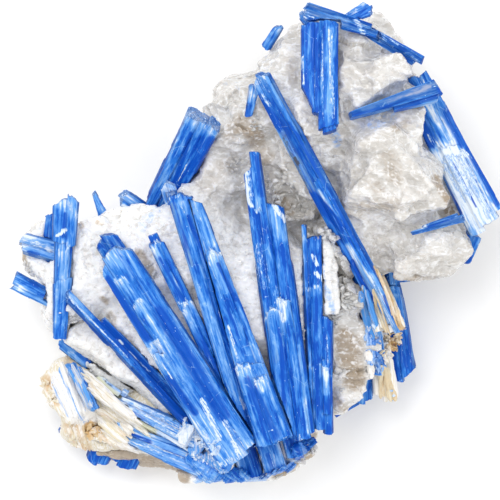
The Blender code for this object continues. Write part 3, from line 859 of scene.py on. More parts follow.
@dataclass
class BladePiece(Piece):
    """One kyanite blade, made from the frame's node of the same name.

    Tone says how pale it is, fade how much paler at its tip, rough how uneven, and wear how worn its
    edges are.
    """

    node: str
    finish: Material
    marks: tuple[Mark, ...] = ()
    flakes: tuple[Flake, ...] = ()
    tone: float = 0.0
    fade: float = 0.25
    rough: float = 1.0
    wear: float = 0.5
    loose_flakes: int = 3
    slot: str = "kyanite"
    seed: int = field(init=False, default=0)

    # The mesh: cuts along it, across it and through it, each with the axis and the step in millimetres.
    CUTS = ((1, 0.55), (0, 0.27), (2, 0.7))
    CUT_SLACK = 0.03
    FLAT_ANGLE = math.radians(2)
    EDGE_ANGLE = 0.45
    SLIVER = 0.01  # a face with less area than this makes no sharp edge
    SMOOTH_ANGLE = math.radians(24)

    # The relief: width, run and rise of soft ribs, and of laths that end in steps.
    SWAY = (0.5, 14.0)
    RIBS = ((1.7, 30.0, 0.20), (0.75, 18.0, 0.10))
    LATHS = ((2.7, 34.0, 0.26), (1.1, 21.0, 0.10))
    LATH_SUNK = 0.6  # how far back they lie on the whole, as a share of their rise
    THREAD = 0.35
    RAGGED = 3.0

    # Flakes: their threads, the curve and the waves of their tips, and how far the threads stand out.
    LEAST_FLAKE = 0.5
    FLAKE_THREAD = 0.36
    TIP_CURVE = (0.7, 1.6)
    TIP_WAVE = (1.1, 1.5)
    SIDE_WAVE = (0.14, 5.0)
    TIP_FRAY = 0.6
    FOOT_FRAY = 2.0
    FLAKE_SLOPE = (0.0, 0.45)
    LOOSE_WIDTH = (0.4, 1.3)
    LOOSE_RISE = (0.08, 0.2)

    # The wear on a flake: along its tip, on its lip and on its sides. A lower flake shows less of it.
    TIP_WEAR, TIP_REACH, TIP_GROWTH = 0.8, 0.4, 1.4
    LIP_WEAR, LIP = 0.45, 0.9
    SIDE_WEAR = 0.5
    BOLD_RISE = 0.3

    # The broken ends: how far their threads stand back, and over what length that fades.
    END_STRETCH = np.array((2.0, 1.0, 1.5))
    END_FACING = 0.6
    NO_END = 1e6  # how far off an end is that isn't there
    END_THREAD = np.array((0.42, 0.9))
    END_LATH = 1.3
    END_BACK = (0.05, 0.35, 0.55)  # always, by the thread and by the wave
    CORNER_BACK = 0.8
    UPPER_FADE = (0.0, 4.0)
    LOWER_FADE = (0.0, 3.0)
    LOWER_SHARE = 0.6

    # How far pale tips reach along the blade, and how much flakes and laths lighten it.
    FADE_REACH = 4.5
    CAP_REACH = 3.0
    CAP_PALE = 0.55
    WORN_PALE = 0.2
    LATH_WIDTH, LATH_PALE = 1.9, 0.10
    END_WEAR, END_WEAR_REACH = 0.5, 0.7
    RIM_PATCH = np.array((1.5, 4.0, 1.5))

    # Which faces count as flanks, as ends and as the upper side, and how the relief differs there.
    # The flanks also get painted shade in the finish.
    FLANK = (0.35, 0.8)
    FLANK_RELIEF = 1.1
    END_TURN = (0.5, 0.9)
    END_CALM = 0.85
    UPPER = 0.2

    GRAIN_SHIFT = np.array((37.0, 61.0, 83.0))  # keeps one blade's streaks from those of the next

    def __post_init__(self) -> None:
        """Gives each blade a seed of its own, worked out from its name."""
        self.seed = 1000 + sum(ord(letter) * (place + 3) for place, letter in enumerate(self.node)) % 9000

    def sliced(self, axes: Axes) -> Mesh:
        """The node's mesh in the blade's own directions, cut into fine strips and rings.

        Args:
            axes: The blade's directions.

        Returns:
            A new closed mesh, in metres, whose axes are across, along and face.
        """
        bm = closed_copy(self.node)
        place = Matrix(axes.turn.tolist()).to_4x4() @ Matrix.Translation(-Vector(axes.middle * MM))
        bm.transform(place)
        bmesh.ops.dissolve_limit(bm, angle_limit=self.FLAT_ANGLE, verts=bm.verts, edges=bm.edges)
        for axis, step in self.CUTS:
            step *= MM * COARSE
            reach = [vertex.co[axis] for vertex in bm.verts]
            low, high = min(reach), max(reach)
            count = max(2, round((high - low) / step))
            normal = Vector([float(axis == other) for other in range(3)])
            for number in range(1, count):
                bmesh.ops.bisect_plane(
                    bm, geom=bm.verts[:] + bm.edges[:] + bm.faces[:], dist=self.CUT_SLACK * MM,
                    plane_co=normal * (low + (high - low) * number / count), plane_no=normal,
                )
        bmesh.ops.triangulate(bm, faces=bm.faces)
        mesh = bpy.data.meshes.new(self.node)
        sharp = {
            vertex.index for edge in bm.edges if edge.calc_face_angle(0.0) > self.EDGE_ANGLE
            and min(face.calc_area() for face in edge.link_faces) > self.SLIVER * MM**2
            for vertex in edge.verts
        }
        bm.to_mesh(mesh)
        bm.free()
        edge = np.zeros(len(mesh.vertices))
        edge[sorted(sharp)] = 1.0
        write_attribute(mesh, "edge", edge)
        return mesh

    def ends(self, local: Array, normal: Array) -> list[Array]:
        """How far each point is from the nearest broken end of a lath.

        Args:
            local: Points in the blade's directions, in millimetres.
            normal: The outward direction at each point.

        Returns:
            The distances to the upper ends and to the lower ends.
        """
        found = []
        for way in (1.0, -1.0):
            rows = np.nonzero(way * normal[:, 1] > self.END_FACING)[0]
            tree = KDTree(max(len(rows), 1))
            for row in rows:
                tree.insert(local[row] * self.END_STRETCH, row)
            if not len(rows):
                tree.insert(Vector((0.0, self.NO_END, 0.0)), 0)
            tree.balance()
            found.append(np.array([tree.find(point)[2] for point in local * self.END_STRETCH]))
        return found

    def laths(self, local: Array) -> Array:
        """The relief of the laths and threads that the blade is made of, in millimetres.

        Args:
            local: Points in the blade's directions, in millimetres.

        Returns:
            The height of each point above or below the plain face.
        """
        height = np.zeros(len(local))
        bend = local[:, 0] + wave(local[:, [1]], *self.SWAY, self.seed)
        flat = np.column_stack((bend, local[:, 1], local[:, 2]))
        for number, (width, run, rise) in enumerate(self.RIBS):
            height += rise * noise(flat / np.array((width, run, width)), self.seed + 20 + number)
        for number, (width, run, rise) in enumerate(self.LATHS):
            seed = self.seed + 50 * (number + 1)
            lane = np.floor(bend[:, None] / width + chance(np.array([[1]]), seed))
            depth = np.floor(local[:, [2]] / (2.0 * width))
            ragged = self.RAGGED * by_strip(local, self.THREAD, seed + 3)
            shift = run * chance(np.hstack((lane, depth)), seed + 1) + ragged
            piece = np.floor((local[:, 1] + shift) / run)[:, None]
            height += rise * (chance(np.hstack((lane, depth, piece)), seed + 2) - self.LATH_SUNK)
        return height * self.rough

    def raised(self, local: Array, centre: Array, axes: Axes) -> Array:
        """The flakes on the upper face.

        Args:
            local: Points in the blade's directions from its middle, in millimetres.
            centre: The middle that they are measured from.
            axes: The blade's directions.

        Returns:
            Three rows: the height that they add, how worn their ragged tips are, and how milky their caps.
        """
        rise, worn, milky = np.zeros((3, len(local)))
        for number, flake in enumerate(self.flakes + self.chance_flakes(local, centre, axes)):
            seed = self.seed + 400 + 10 * number
            tip, foot = (axes.beneath(place) - centre[:2] for place in (flake.tip, flake.foot))
            run = max(abs(tip[1] - foot[1]), self.LEAST_FLAKE)
            way = 1.0 if tip[1] > foot[1] else -1.0
            share = np.clip(way * (local[:, 1] - foot[1]) / run, 0.0, 1.0)
            off = (local[:, 0] - foot[0] - (tip[0] - foot[0]) * share) / flake.wide
            fibre = by_strip(local, self.FLAKE_THREAD, seed + 1) - 0.5
            curve, power = self.TIP_CURVE
            point = curve * flake.wide * np.abs(off) ** power
            point += wave(local[:, [0]], *self.TIP_WAVE, seed + 2)
            gap = way * (tip[1] - local[:, 1]) - point - self.TIP_FRAY * fibre
            tail = way * (local[:, 1] - foot[1]) + self.FOOT_FRAY * fibre
            wander = 1.0 + wave(local[:, [1]], *self.SIDE_WAVE, seed + 3)
            inside = (np.abs(off) < wander) & (gap > 0.0) & (tail > 0.0) & (local[:, 2] > 0.0)
            rise = np.where(inside, rise + flake.rise * ease(share, *self.FLAKE_SLOPE), rise)
            near = np.maximum(gap, 0.0)
            rim = self.TIP_WEAR * np.exp(-near / (self.TIP_REACH + self.TIP_GROWTH * flake.rise))
            rim += self.LIP_WEAR * (gap < self.LIP)
            rim += self.SIDE_WEAR * ease(np.abs(off), 0.8, 1.0) * ease(share, 0.3, 0.8)
            bold = min(1.0, flake.rise / self.BOLD_RISE)
            worn = np.where(inside, np.maximum(worn, bold * np.minimum(rim, 1.0)), worn)
            cap = bold * np.exp(-near / self.CAP_REACH)
            milky = np.where(inside, np.maximum(milky, cap), milky)
        return np.stack((rise, worn, milky))

    def chance_flakes(self, local: Array, centre: Array, axes: Axes) -> tuple[Flake, ...]:
        """A few thin flakes that lie anywhere on the blade.

        Args:
            local: Points in the blade's directions from its middle, in millimetres.
            centre: The middle that they are measured from.
            axes: The blade's directions.

        Returns:
            The flakes.
        """
        rng = np.random.default_rng(self.seed)
        low, high = local.min(axis=0), local.max(axis=0)
        found = []
        for _ in range(self.loose_flakes):
            side, tip, length = rng.uniform((0.1, 0.35, 0.1), (0.9, 1.0, 0.4))
            ends = []
            for share in (tip, tip - length):
                spot = low + (high - low) * np.array((side, share, 1.0)) + centre
                ends.append(tuple(axes.outward(spot)[:2]))
            found.append(Flake(*ends, rng.uniform(*self.LOOSE_WIDTH), rng.uniform(*self.LOOSE_RISE)))
        return tuple(found)

    def jag(self, local: Array) -> Array:
        """How far the threads of a broken end stand back.

        Args:
            local: Points in the blade's directions from its middle, in millimetres.

        Returns:
            The distance at each point, in millimetres.
        """
        fibre = chance(np.floor(local[:, [0, 2]] / self.END_THREAD), self.seed + 9)
        broken = np.where(by_strip(local, self.END_LATH, self.seed + 8) > 0.5, 1.0, 0.35)
        wander = 0.5 + wave(local[:, [0]], 0.5, 1.7, self.seed + 12)
        corner = np.abs(local[:, 0]) / max(np.abs(local[:, 0]).max(), TINY)
        always, thread, swing = self.END_BACK
        back = (always + thread * fibre**2 + swing * wander) * broken * self.rough
        return back + self.CORNER_BACK * corner**3

    def build(self) -> None:
        """Makes the blade's mesh and hands it to the frame."""
        axes = Axes.of(self.node)
        mesh = self.sliced(axes)
        local = to_mm(mesh)
        flat = axes.outward(local)
        normal = normals_of(local, triangles_of(mesh))
        centre = 0.5 * (local.min(axis=0) + local.max(axis=0))
        local -= centre
        above, below = self.ends(local, normal)
        edge = np.empty(len(local), np.float32)
        mesh.attributes["edge"].data.foreach_get("value", edge)
        rise, worn, milky = self.raised(local, centre, axes)
        side = ease(1.0 - np.abs(normal[:, 2]), *self.FLANK)
        sideways = normal * np.array((1.0, 0.0, 1.0))
        calm = 1.0 - self.END_CALM * ease(np.abs(normal[:, 1]), *self.END_TURN)
        relief = self.laths(local) * calm * (1.0 + self.FLANK_RELIEF * side)
        moved = local + sideways * relief[:, None]
        moved[:, 2] += rise * (normal[:, 2] > self.UPPER)
        jag = self.jag(local)
        moved[:, 1] -= jag * (1.0 - ease(above, *self.UPPER_FADE))
        moved[:, 1] += self.LOWER_SHARE * jag * (1.0 - ease(below, *self.LOWER_FADE))
        rim = self.wear * edge * ease(noise(local / self.RIM_PATCH, self.seed + 5), -0.2, 0.6)
        wear = np.maximum(np.maximum(0.9 * worn, rim), self.END_WEAR * np.exp(-above / self.END_WEAR_REACH))
        lath = chance(np.floor(local[:, [0]] / self.LATH_WIDTH + 0.3), self.seed + 15) - 0.5
        pale = self.tone + self.fade * np.exp(-above / self.FADE_REACH) + self.LATH_PALE * lath
        pale += self.WORN_PALE * worn + self.CAP_PALE * milky
        moved += centre
        write_points(mesh, LIMITS.keep_in(axes.outward(moved)))
        mesh.attributes.remove(mesh.attributes["edge"])
        write_attribute(mesh, "grain", moved + self.GRAIN_SHIFT * (self.seed % 97))
        # painted shade on steep sides: how far each face turns sideways
        write_attribute(mesh, "side_shade", side)
        write_attribute(mesh, "tone", pale + painted(self.marks, Kind.PALE, flat))
        write_attribute(mesh, "wear", np.maximum(wear, painted(self.marks, Kind.WEAR, flat)))
        # the dark marks are painted shade
        for kind in (Kind.DEEP, Kind.TINT, Kind.TAN, Kind.DARK):
            write_attribute(mesh, kind.value, painted(self.marks, kind, flat))
        mesh.shade_smooth()
        mesh.set_sharp_from_angle(angle=self.SMOOTH_ANGLE)
        piece = new_object(self.node + "_crystal", mesh, self.finish)
        finish_piece(piece, (self.node,))


# ---------------- rocks


ROCKS = {"quartz_matrix", "quartz_bar", "weathered_root", "fan_foot_crumbs"}


class Solids:
    """The frame's solids as one surface to drop things onto."""

    def __init__(self, nodes: set[str]) -> None:
        """Gathers the solids of some of the nodes."""
        bm = bmesh.new()
        for node in sorted(nodes):
            bm.from_mesh(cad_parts[node].data)
        self.tree = BVHTree.FromBMesh(bm)
        bm.free()

    def hides(self, point: Vector) -> bool:
        """Whether a solid lies straight above a point."""
        return self.tree.ray_cast(point, Vector((0.0, 0.0, 1.0)))[0] is not None

    def top(self, x: float, y: float) -> float | None:
        """The height of the topmost solid at a place, in millimetres, if there is one."""
        hit = self.tree.ray_cast(Vector((x * MM, y * MM, 1.0)), Vector((0.0, 0.0, -1.0)))[0]
        return None if hit is None else hit.z / MM


BLADES = Solids(set(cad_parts) - ROCKS)
GROUND = Solids(set(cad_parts))

RIDGE_WIDTH = 0.45
BOWL = 0.5  # how hollow each shell-shaped face is
LEDGE = 0.3  # how far the faces stand in front of one another


def chipped(points: Array, size: float, tilt: float, seed: int) -> tuple[Array, Array]:
    """The depth of a mass of shallow shell-shaped chips that meet in sharp ridges.

    Args:
        points: Places in millimetres, one row each.
        size: The usual width of a face.
        tilt: How steep the faces are.
        seed: Picks one of many fields.

    Returns:
        The depth at each point as a share of the size, and how close the point is to a ridge.
    """
    scaled = points / size
    cell = np.floor(scaled).astype(np.int64)
    depth = np.full(len(points), -FAR)
    second = depth
    for offset in NEIGHBOURS:
        there = cell + np.array(offset)
        face = LEDGE * chance(there, seed + 9)
        for axis in range(3):
            away = scaled[:, axis] - there[:, axis] - chance(there, seed + axis)
            face += tilt * away * (2.0 * chance(there, seed + 4 + axis) - 1.0) - BOWL * away * away
        second = np.maximum(second, np.minimum(depth, face))
        depth = np.maximum(depth, face)
    return depth, np.exp((second - depth) * size / RIDGE_WIDTH)


@dataclass
class RockPiece(Piece):
    """A rock remade as a fine mass of grains and broken faces, from the frame's node of the same name.

    Its mesh has faces as wide as a cell and is swollen a little. Each layer of sugar has the size of its
    grains and their depth, and each set of faces has their size and tilt. Where glassy is left out, the
    rock is clear in its upper lobe and on its right.
    """

    node: str
    finish: Material
    slot: str
    cell: float
    swell: float
    sugar: tuple[Pair, ...]
    faces: tuple[Pair, ...] = ()
    marks: tuple[Mark, ...] = ()
    glassy: float | None = None
    grain_of: str = ""

    SEED = 1
    FACING_UP = 0.2
    SUGAR_IN_CLEAR = 0.15  # how much of the sugar's relief clear quartz has
    GRAIN_RIM = 0.42  # how far from its middle a grain starts to sink in, as a share of its width
    GRAIN_RISE = 0.3
    BROKEN_IN_SUGAR = 0.3  # how much of the broken faces' relief sugary quartz has
    RELIEF = 0.44
    RELIEF_POWER = 0.75  # how the relief grows with the faces
    STANDING = 0.25  # the share of the rock that stands out rather than lies back
    RIDGE_PATCH = 1.3
    OUTWARD = 0.6  # the furthest that the relief stands out
    BEND = 3.0
    BEND_SIZE = 15.0
    SHEETS = np.array((0.42, 0.86, 0.29))  # square to the sheets that it breaks in
    SHEET_SQUEEZE = 0.9
    SMOOTH_ANGLE = math.radians(28)
    FOOT = (0.0, 1.5)  # the heights between which the relief grows from nothing, over the flat underside
    UPWARD = (-0.3, 0.2)  # the turns of a face between which its marks grow to full strength

    # Where quartz is clear: past a slanting line and past one to the right, both with a waver.
    CLEAR_WAVER, CLEAR_RUN = 4.0, 9.0
    SLANT = 0.65
    LOBE_EDGE = (0.0, 7.0)
    RIGHT_EDGE = (15.0, 20.0)

    def remeshed(self) -> Mesh:
        """The node's solid as an even mesh, with smaller faces where it shows from above."""
        bm = closed_copy(self.node)
        source = bpy.data.meshes.new("scratch")
        bm.to_mesh(source)
        scratch = placed(bpy.data.objects.new("scratch", source))
        remesh = scratch.modifiers.new("remesh", "REMESH")
        remesh.mode = "VOXEL"
        remesh.voxel_size = self.cell * MM * COARSE
        bpy.context.view_layer.update()
        evaluated = scratch.evaluated_get(bpy.context.evaluated_depsgraph_get())
        mesh = bpy.data.meshes.new_from_object(evaluated)
        bpy.data.objects.remove(scratch)
        bm.clear()
        bm.from_mesh(mesh)
        upper = (face for face in bm.faces if face.normal.z > self.FACING_UP)
        shown = [face for face in upper if not BLADES.hides(face.calc_center_median())]
        edges = {edge for face in shown for edge in face.edges}
        bmesh.ops.subdivide_edges(bm, edges=list(edges), cuts=1, use_grid_fill=True)
        bmesh.ops.triangulate(bm, faces=bm.faces)
        bm.to_mesh(mesh)
        bm.free()
        return mesh

    def clearness(self, points: Array) -> Array:
        """How glassy the quartz is: the upper lobe and the right-hand side are clear.

        Args:
            points: Places in millimetres, one row each.

        Returns:
            A number from 0 to 1 for each row.
        """
        if self.glassy is not None:
            return np.full(len(points), self.glassy)
        waver = self.CLEAR_WAVER * fractal(points / self.CLEAR_RUN, 77)
        lobe = ease(points[:, 1] + self.SLANT * points[:, 0] + waver, *self.LOBE_EDGE)
        return np.maximum(lobe, ease(points[:, 0] + 0.5 * waver, *self.RIGHT_EDGE))

    def build(self) -> None:
        """Makes the rock's mesh and hands it to the frame."""
        mesh = self.remeshed()
        points = to_mm(mesh)
        normal = normals_of(points, triangles_of(mesh))
        clear = self.clearness(points)
        out = np.full(len(points), self.swell)
        pit = np.zeros(len(points))
        ridge = np.zeros(len(points))
        for number, (size, depth) in enumerate(self.sugar):
            nearest, own = grains(points, size, self.SEED + 100 * number)
            shown = 1.0 - (1.0 - self.SUGAR_IN_CLEAR) * clear
            out += depth * shown * (self.GRAIN_RIM - nearest + self.GRAIN_RISE * (own - 0.5))
            pit += nearest - 0.4
        sway = [fractal(points / self.BEND_SIZE, self.SEED + axis) for axis in range(3)]
        bent = points + self.BEND * np.column_stack(sway)
        sheets = bent + self.SHEET_SQUEEZE * (bent @ self.SHEETS)[:, None] * self.SHEETS
        hidden = 1.0 - ease(normal[:, 2], 0.1, 0.5)
        broken = np.maximum(self.BROKEN_IN_SUGAR + (1.0 - self.BROKEN_IN_SUGAR) * clear, hidden)
        for number, (size, tilt) in enumerate(self.faces):
            step, near = chipped(sheets, size, tilt, self.SEED + 900 + 50 * number)
            relief = self.RELIEF * size**self.RELIEF_POWER
            out -= broken * relief * (step - np.quantile(step, self.STANDING))
            patch = chance(np.floor(points / self.RIDGE_PATCH), number + 5)
            ridge = np.maximum(ridge, near * (0.4 + 0.6 * patch))
        out = np.where(out > 0.0, self.OUTWARD * np.tanh(out / self.OUTWARD), out)
        out *= ease(points[:, 2], *self.FOOT)
        moved = LIMITS.keep_in(points + normal * out[:, None])
        write_points(mesh, moved)
        write_attribute(mesh, "grain", Axes.of(self.grain_of).inward(moved) if self.grain_of else moved)
        write_attribute(mesh, "clear", clear)
        # how deep each point lies in the crevices between grains, which the quartz finish paints as shade
        write_attribute(mesh, "pit", pit)
        write_attribute(mesh, "ridge", ridge)
        upward = ease(normal[:, 2], *self.UPWARD)
        # the smoke and dark marks carry painted shade
        for kind in Kind:
            write_attribute(mesh, kind.value, painted(self.marks, kind, points) * upward)
        mesh.shade_smooth()
        mesh.set_sharp_from_angle(angle=self.SMOOTH_ANGLE)
        piece = new_object(self.node + "_rock", mesh, self.finish)
        finish_piece(piece, (self.node,))


# ---------------- small pieces


@dataclass(frozen=True)
class Run:
    """A strip seen from above in which small pieces lie: its two ends, its half width and their number."""

    start: Place
    end: Place
    wide: float
    count: int
    size: float
    tan: float = 0.0
    blue: float = 0.0
    tone: float = 0.0


def across(start: Array, end: Array) -> Array:
    """The level direction of length 1 at right angles to the way from one place to another."""
    run = end - start
    return np.array((-run[1], run[0])) / max(np.linalg.norm(run), TINY)


class Gathered:
    """Small closed shapes gathered into one mesh, each with its own shade of tan, blue and paleness."""

    SPREAD = 0.12  # how far the shades of neighbours differ

    def __init__(self) -> None:
        """Starts with nothing gathered."""
        self.points, self.grain, self.triangles, self.shades = [], [], [], []
        self.total = 0

    def add(
        self, points: Array, grain: Array, triangles: Array, shade: Triple,
        rng: np.random.Generator,
    ) -> None:
        """Adds one shape.

        Args:
            points: Its points in millimetres.
            grain: Where its material's pattern is read at each of them.
            triangles: Three of its own points for each triangle.
            shade: How tan, how blue and how pale such shapes are.
            rng: The source of its own difference from that.
        """
        own = rng.normal(0.0, self.SPREAD, 3) + np.array(shade)
        self.points.append(points)
        self.grain.append(grain)
        self.triangles.append(triangles + self.total)
        self.shades.append(np.tile(own, (len(points), 1)))
        self.total += len(points)

    def mesh(self, name: str) -> Mesh:
        """The mesh of everything that was added, with its grain and its shades.

        Args:
            name: The mesh's name.

        Returns:
            The new mesh.
        """
        joined = LIMITS.keep_in(np.vstack(self.points))
        mesh = bpy.data.meshes.new(name)
        mesh.from_pydata((joined * MM).tolist(), [], np.vstack(self.triangles).tolist())
        write_attribute(mesh, "grain", np.vstack(self.grain))
        shades = np.vstack(self.shades)
        for column, kind in enumerate((Kind.TAN, Kind.DEEP, Kind.PALE)):
            write_attribute(mesh, kind.value, shades[:, column])
        return mesh


@dataclass
class Crumbs(Piece):
    """Small broken crystals that stick to the cluster, joined in one piece."""

    name: str
    finish: Material
    slot: str
    runs: tuple[Run, ...]
    seed: int
    on_blades: bool = False

    CUTS = 9
    REACH = (0.25, 0.6)  # how far the cuts are from the middle, as a share of the size
    SIZES = (0.5, 1.4)
    SLIM, STOUT = (0.8, 0.5, 0.4), (1.4, 0.9, 0.7)  # the least and the greatest of its three widths
    SUNK = 0.05  # how deep a crumb sinks into what is under it, as a share of its size

    def chunk(self, rng: np.random.Generator, size: float) -> tuple[Array, Array]:
        """The points and triangles of one broken crystal about the origin.

        Args:
            rng: The source of its chance shape.
            size: Its usual width in millimetres.

        Returns:
            Its points and its triangles.
        """
        bm = bmesh.new()
        bmesh.ops.create_icosphere(bm, subdivisions=2, radius=1.0)
        points = np.array([vertex.co for vertex in bm.verts])
        triangles = np.array([[vertex.index for vertex in face.verts] for face in bm.faces])
        bm.free()
        cuts = rng.normal(size=(self.CUTS, 3))
        cuts /= np.linalg.norm(cuts, axis=1, keepdims=True)
        for cut, reach in zip(cuts, rng.uniform(*self.REACH, self.CUTS)):
            over = np.maximum(points @ cut - reach, 0.0)
            points = points - over[:, None] * cut
        turn = np.linalg.qr(rng.normal(size=(3, 3)))[0]
        if np.linalg.det(turn) < 0.0:
            turn[0] = -turn[0]
        scale = size * rng.uniform(*self.SIZES) * rng.uniform(self.SLIM, self.STOUT)
        return (points * scale) @ turn, triangles

    def build(self) -> None:
        """Makes the crumbs' mesh and hands it to the frame."""
        rng = np.random.default_rng(self.seed)
        gathered = Gathered()
        for run in self.runs:
            start, end = np.array(run.start), np.array(run.end)
            side = across(start, end)
            for _ in range(run.count):
                spot = start + (end - start) * rng.uniform() + side * run.wide * rng.uniform(-1.0, 1.0)
                own, triangles = self.chunk(rng, run.size)
                height = GROUND.top(*spot)
                if height is None or (not self.on_blades and BLADES.top(*spot) is not None):
                    continue
                points = own + np.array((*spot, height - self.SUNK * run.size))
                gathered.add(points, points, triangles, (run.tan, run.blue, run.tone), rng)
        mesh = gathered.mesh(self.name)
        write_attribute(mesh, "clear", np.ones(len(mesh.vertices)))
        mesh.shade_flat()
        finish_piece(new_object(self.name, mesh, self.finish), ())


@dataclass(frozen=True)
class Spray:
    """A row of splinters that lie side by side, from the places of one line to those of another."""

    start: tuple[Place, Place]
    end: tuple[Place, Place]
    count: int
    width: float
    tan: float = 0.0
    blue: float = 0.0
    tone: float = 0.0
    lift: float = 0.5


@dataclass
class Splinters(Piece):
    """Fine splinters along the grain of altered crystals, joined in one piece."""

    name: str
    finish: Material
    slot: str
    sprays: tuple[Spray, ...]
    seed: int

    STATIONS = 14
    ANGLES = (15, 70, 120, 180, 240, 300)  # the corners of its outline
    TAPER = 2.2  # how many stations its points take
    WANDER = (0.25, 6.0)
    SLACK = (-0.05, 0.12)  # how far its ends stand back, as a share of its length
    HUMP = 0.8  # how far it rises over what it lies on
    LIFTS = (-0.2, 1.0)
    WIDTHS = (0.6, 1.4)
    THICKNESS = (0.5, 1.0)
    WOBBLE = 0.2
    GRAIN_ROOM = 60.0
    SMOOTH_ANGLE = math.radians(35)

    def splinter(self, rng: np.random.Generator, spray: Spray, share: float) -> tuple[Array, Array]:
        """The points of one splinter, ring by ring, and its own grain coordinates.

        Args:
            rng: The source of its chance shape.
            spray: The row that it lies in.
            share: Its place in the row, from 0 to 1.

        Returns:
            Its points and grain coordinates, as many to a ring as it has corners.
        """
        first, last = (
            (1.0 - share) * np.array(line[0]) + share * np.array(line[1])
            for line in (spray.start, spray.end)
        )
        slack = rng.uniform(*self.SLACK, 2)
        steps = np.linspace(slack[0], 1.0 - slack[1], self.STATIONS)
        track = first + (last - first) * steps[:, None]
        length = np.linalg.norm(last - first)
        side = across(first, last)
        track += side * wave(steps[:, None] * length, *self.WANDER, int(rng.integers(1e6)))[:, None]
        heights = [GROUND.top(*spot) for spot in track]
        known = [height for height in heights if height is not None]
        if not known:
            return np.zeros((0, 3)), np.zeros((0, 3))
        heights = np.array([min(known) if height is None else height for height in heights])
        smooth = np.polyval(np.polyfit(steps, heights, 2), steps)
        level = np.maximum(smooth, np.minimum(heights, smooth + self.HUMP))
        level += spray.lift * rng.uniform(*self.LIFTS)
        half = 0.5 * spray.width * rng.uniform(*self.WIDTHS)
        thick = half * rng.uniform(*self.THICKNESS)
        station = np.arange(self.STATIONS)
        taper = np.minimum(1.0, np.minimum(station + 1, self.STATIONS - station) / self.TAPER)
        rings, grain = [], []
        offset = rng.uniform(0.0, self.GRAIN_ROOM, 3)
        for angle in np.radians(self.ANGLES):
            wobble = 1.0 + self.WOBBLE * rng.uniform(-1.0, 1.0, self.STATIONS)
            out = half * math.cos(angle) * taper * wobble
            up = thick * math.sin(angle) * taper * wobble
            rings.append(np.column_stack((track + side * out[:, None], level + up)))
            grain.append(np.column_stack((out, steps * length, up)) + offset)
        return np.stack(rings, axis=1).reshape(-1, 3), np.stack(grain, axis=1).reshape(-1, 3)

    def faces(self) -> Array:
        """The triangles of one closed splinter."""
        sides = len(self.ANGLES)
        found = []
        for ring, corner in itertools.product(range(self.STATIONS - 1), range(sides)):
            here, there = ring * sides + corner, ring * sides + (corner + 1) % sides
            found += [(here, there, there + sides), (here, there + sides, here + sides)]
        last = (self.STATIONS - 1) * sides
        for corner in range(1, sides - 1):
            found += [(0, corner + 1, corner), (last, last + corner, last + corner + 1)]
        return np.array(found)

    def build(self) -> None:
        """Makes the splinters' mesh and hands it to the frame."""
        rng = np.random.default_rng(self.seed)
        gathered = Gathered()
        triangles = self.faces()
        for spray in self.sprays:
            for number in range(spray.count):
                own, grain = self.splinter(rng, spray, (number + rng.uniform(0.2, 0.8)) / spray.count)
                if len(own):
                    gathered.add(own, grain, triangles, (spray.tan, spray.blue, spray.tone), rng)
        mesh = gathered.mesh(self.name)
        mesh.shade_smooth()
        mesh.set_sharp_from_angle(angle=self.SMOOTH_ANGLE)
        finish_piece(new_object(self.name, mesh, self.finish), ())


# ---------------- the cluster's parts


WEAR, PALE, DEEP, TINT, TAN, DARK, SMOKE, IRON, BLUE = Kind


@dataclass(frozen=True)
class Finishes:
    """The materials that the cluster's parts share."""

    blue: Material
    pale: Material
    quartz: Material
    altered: Material


@dataclass
class ClusterPart(ABC):
    """A group of pieces that belong together."""

    finishes: Finishes

    @abstractmethod
    def pieces(self) -> tuple[Piece, ...]:
        """The pieces, in the order in which they are built."""

    def build(self) -> None:
        """Builds every piece."""
        for piece in self.pieces():
            piece.build()


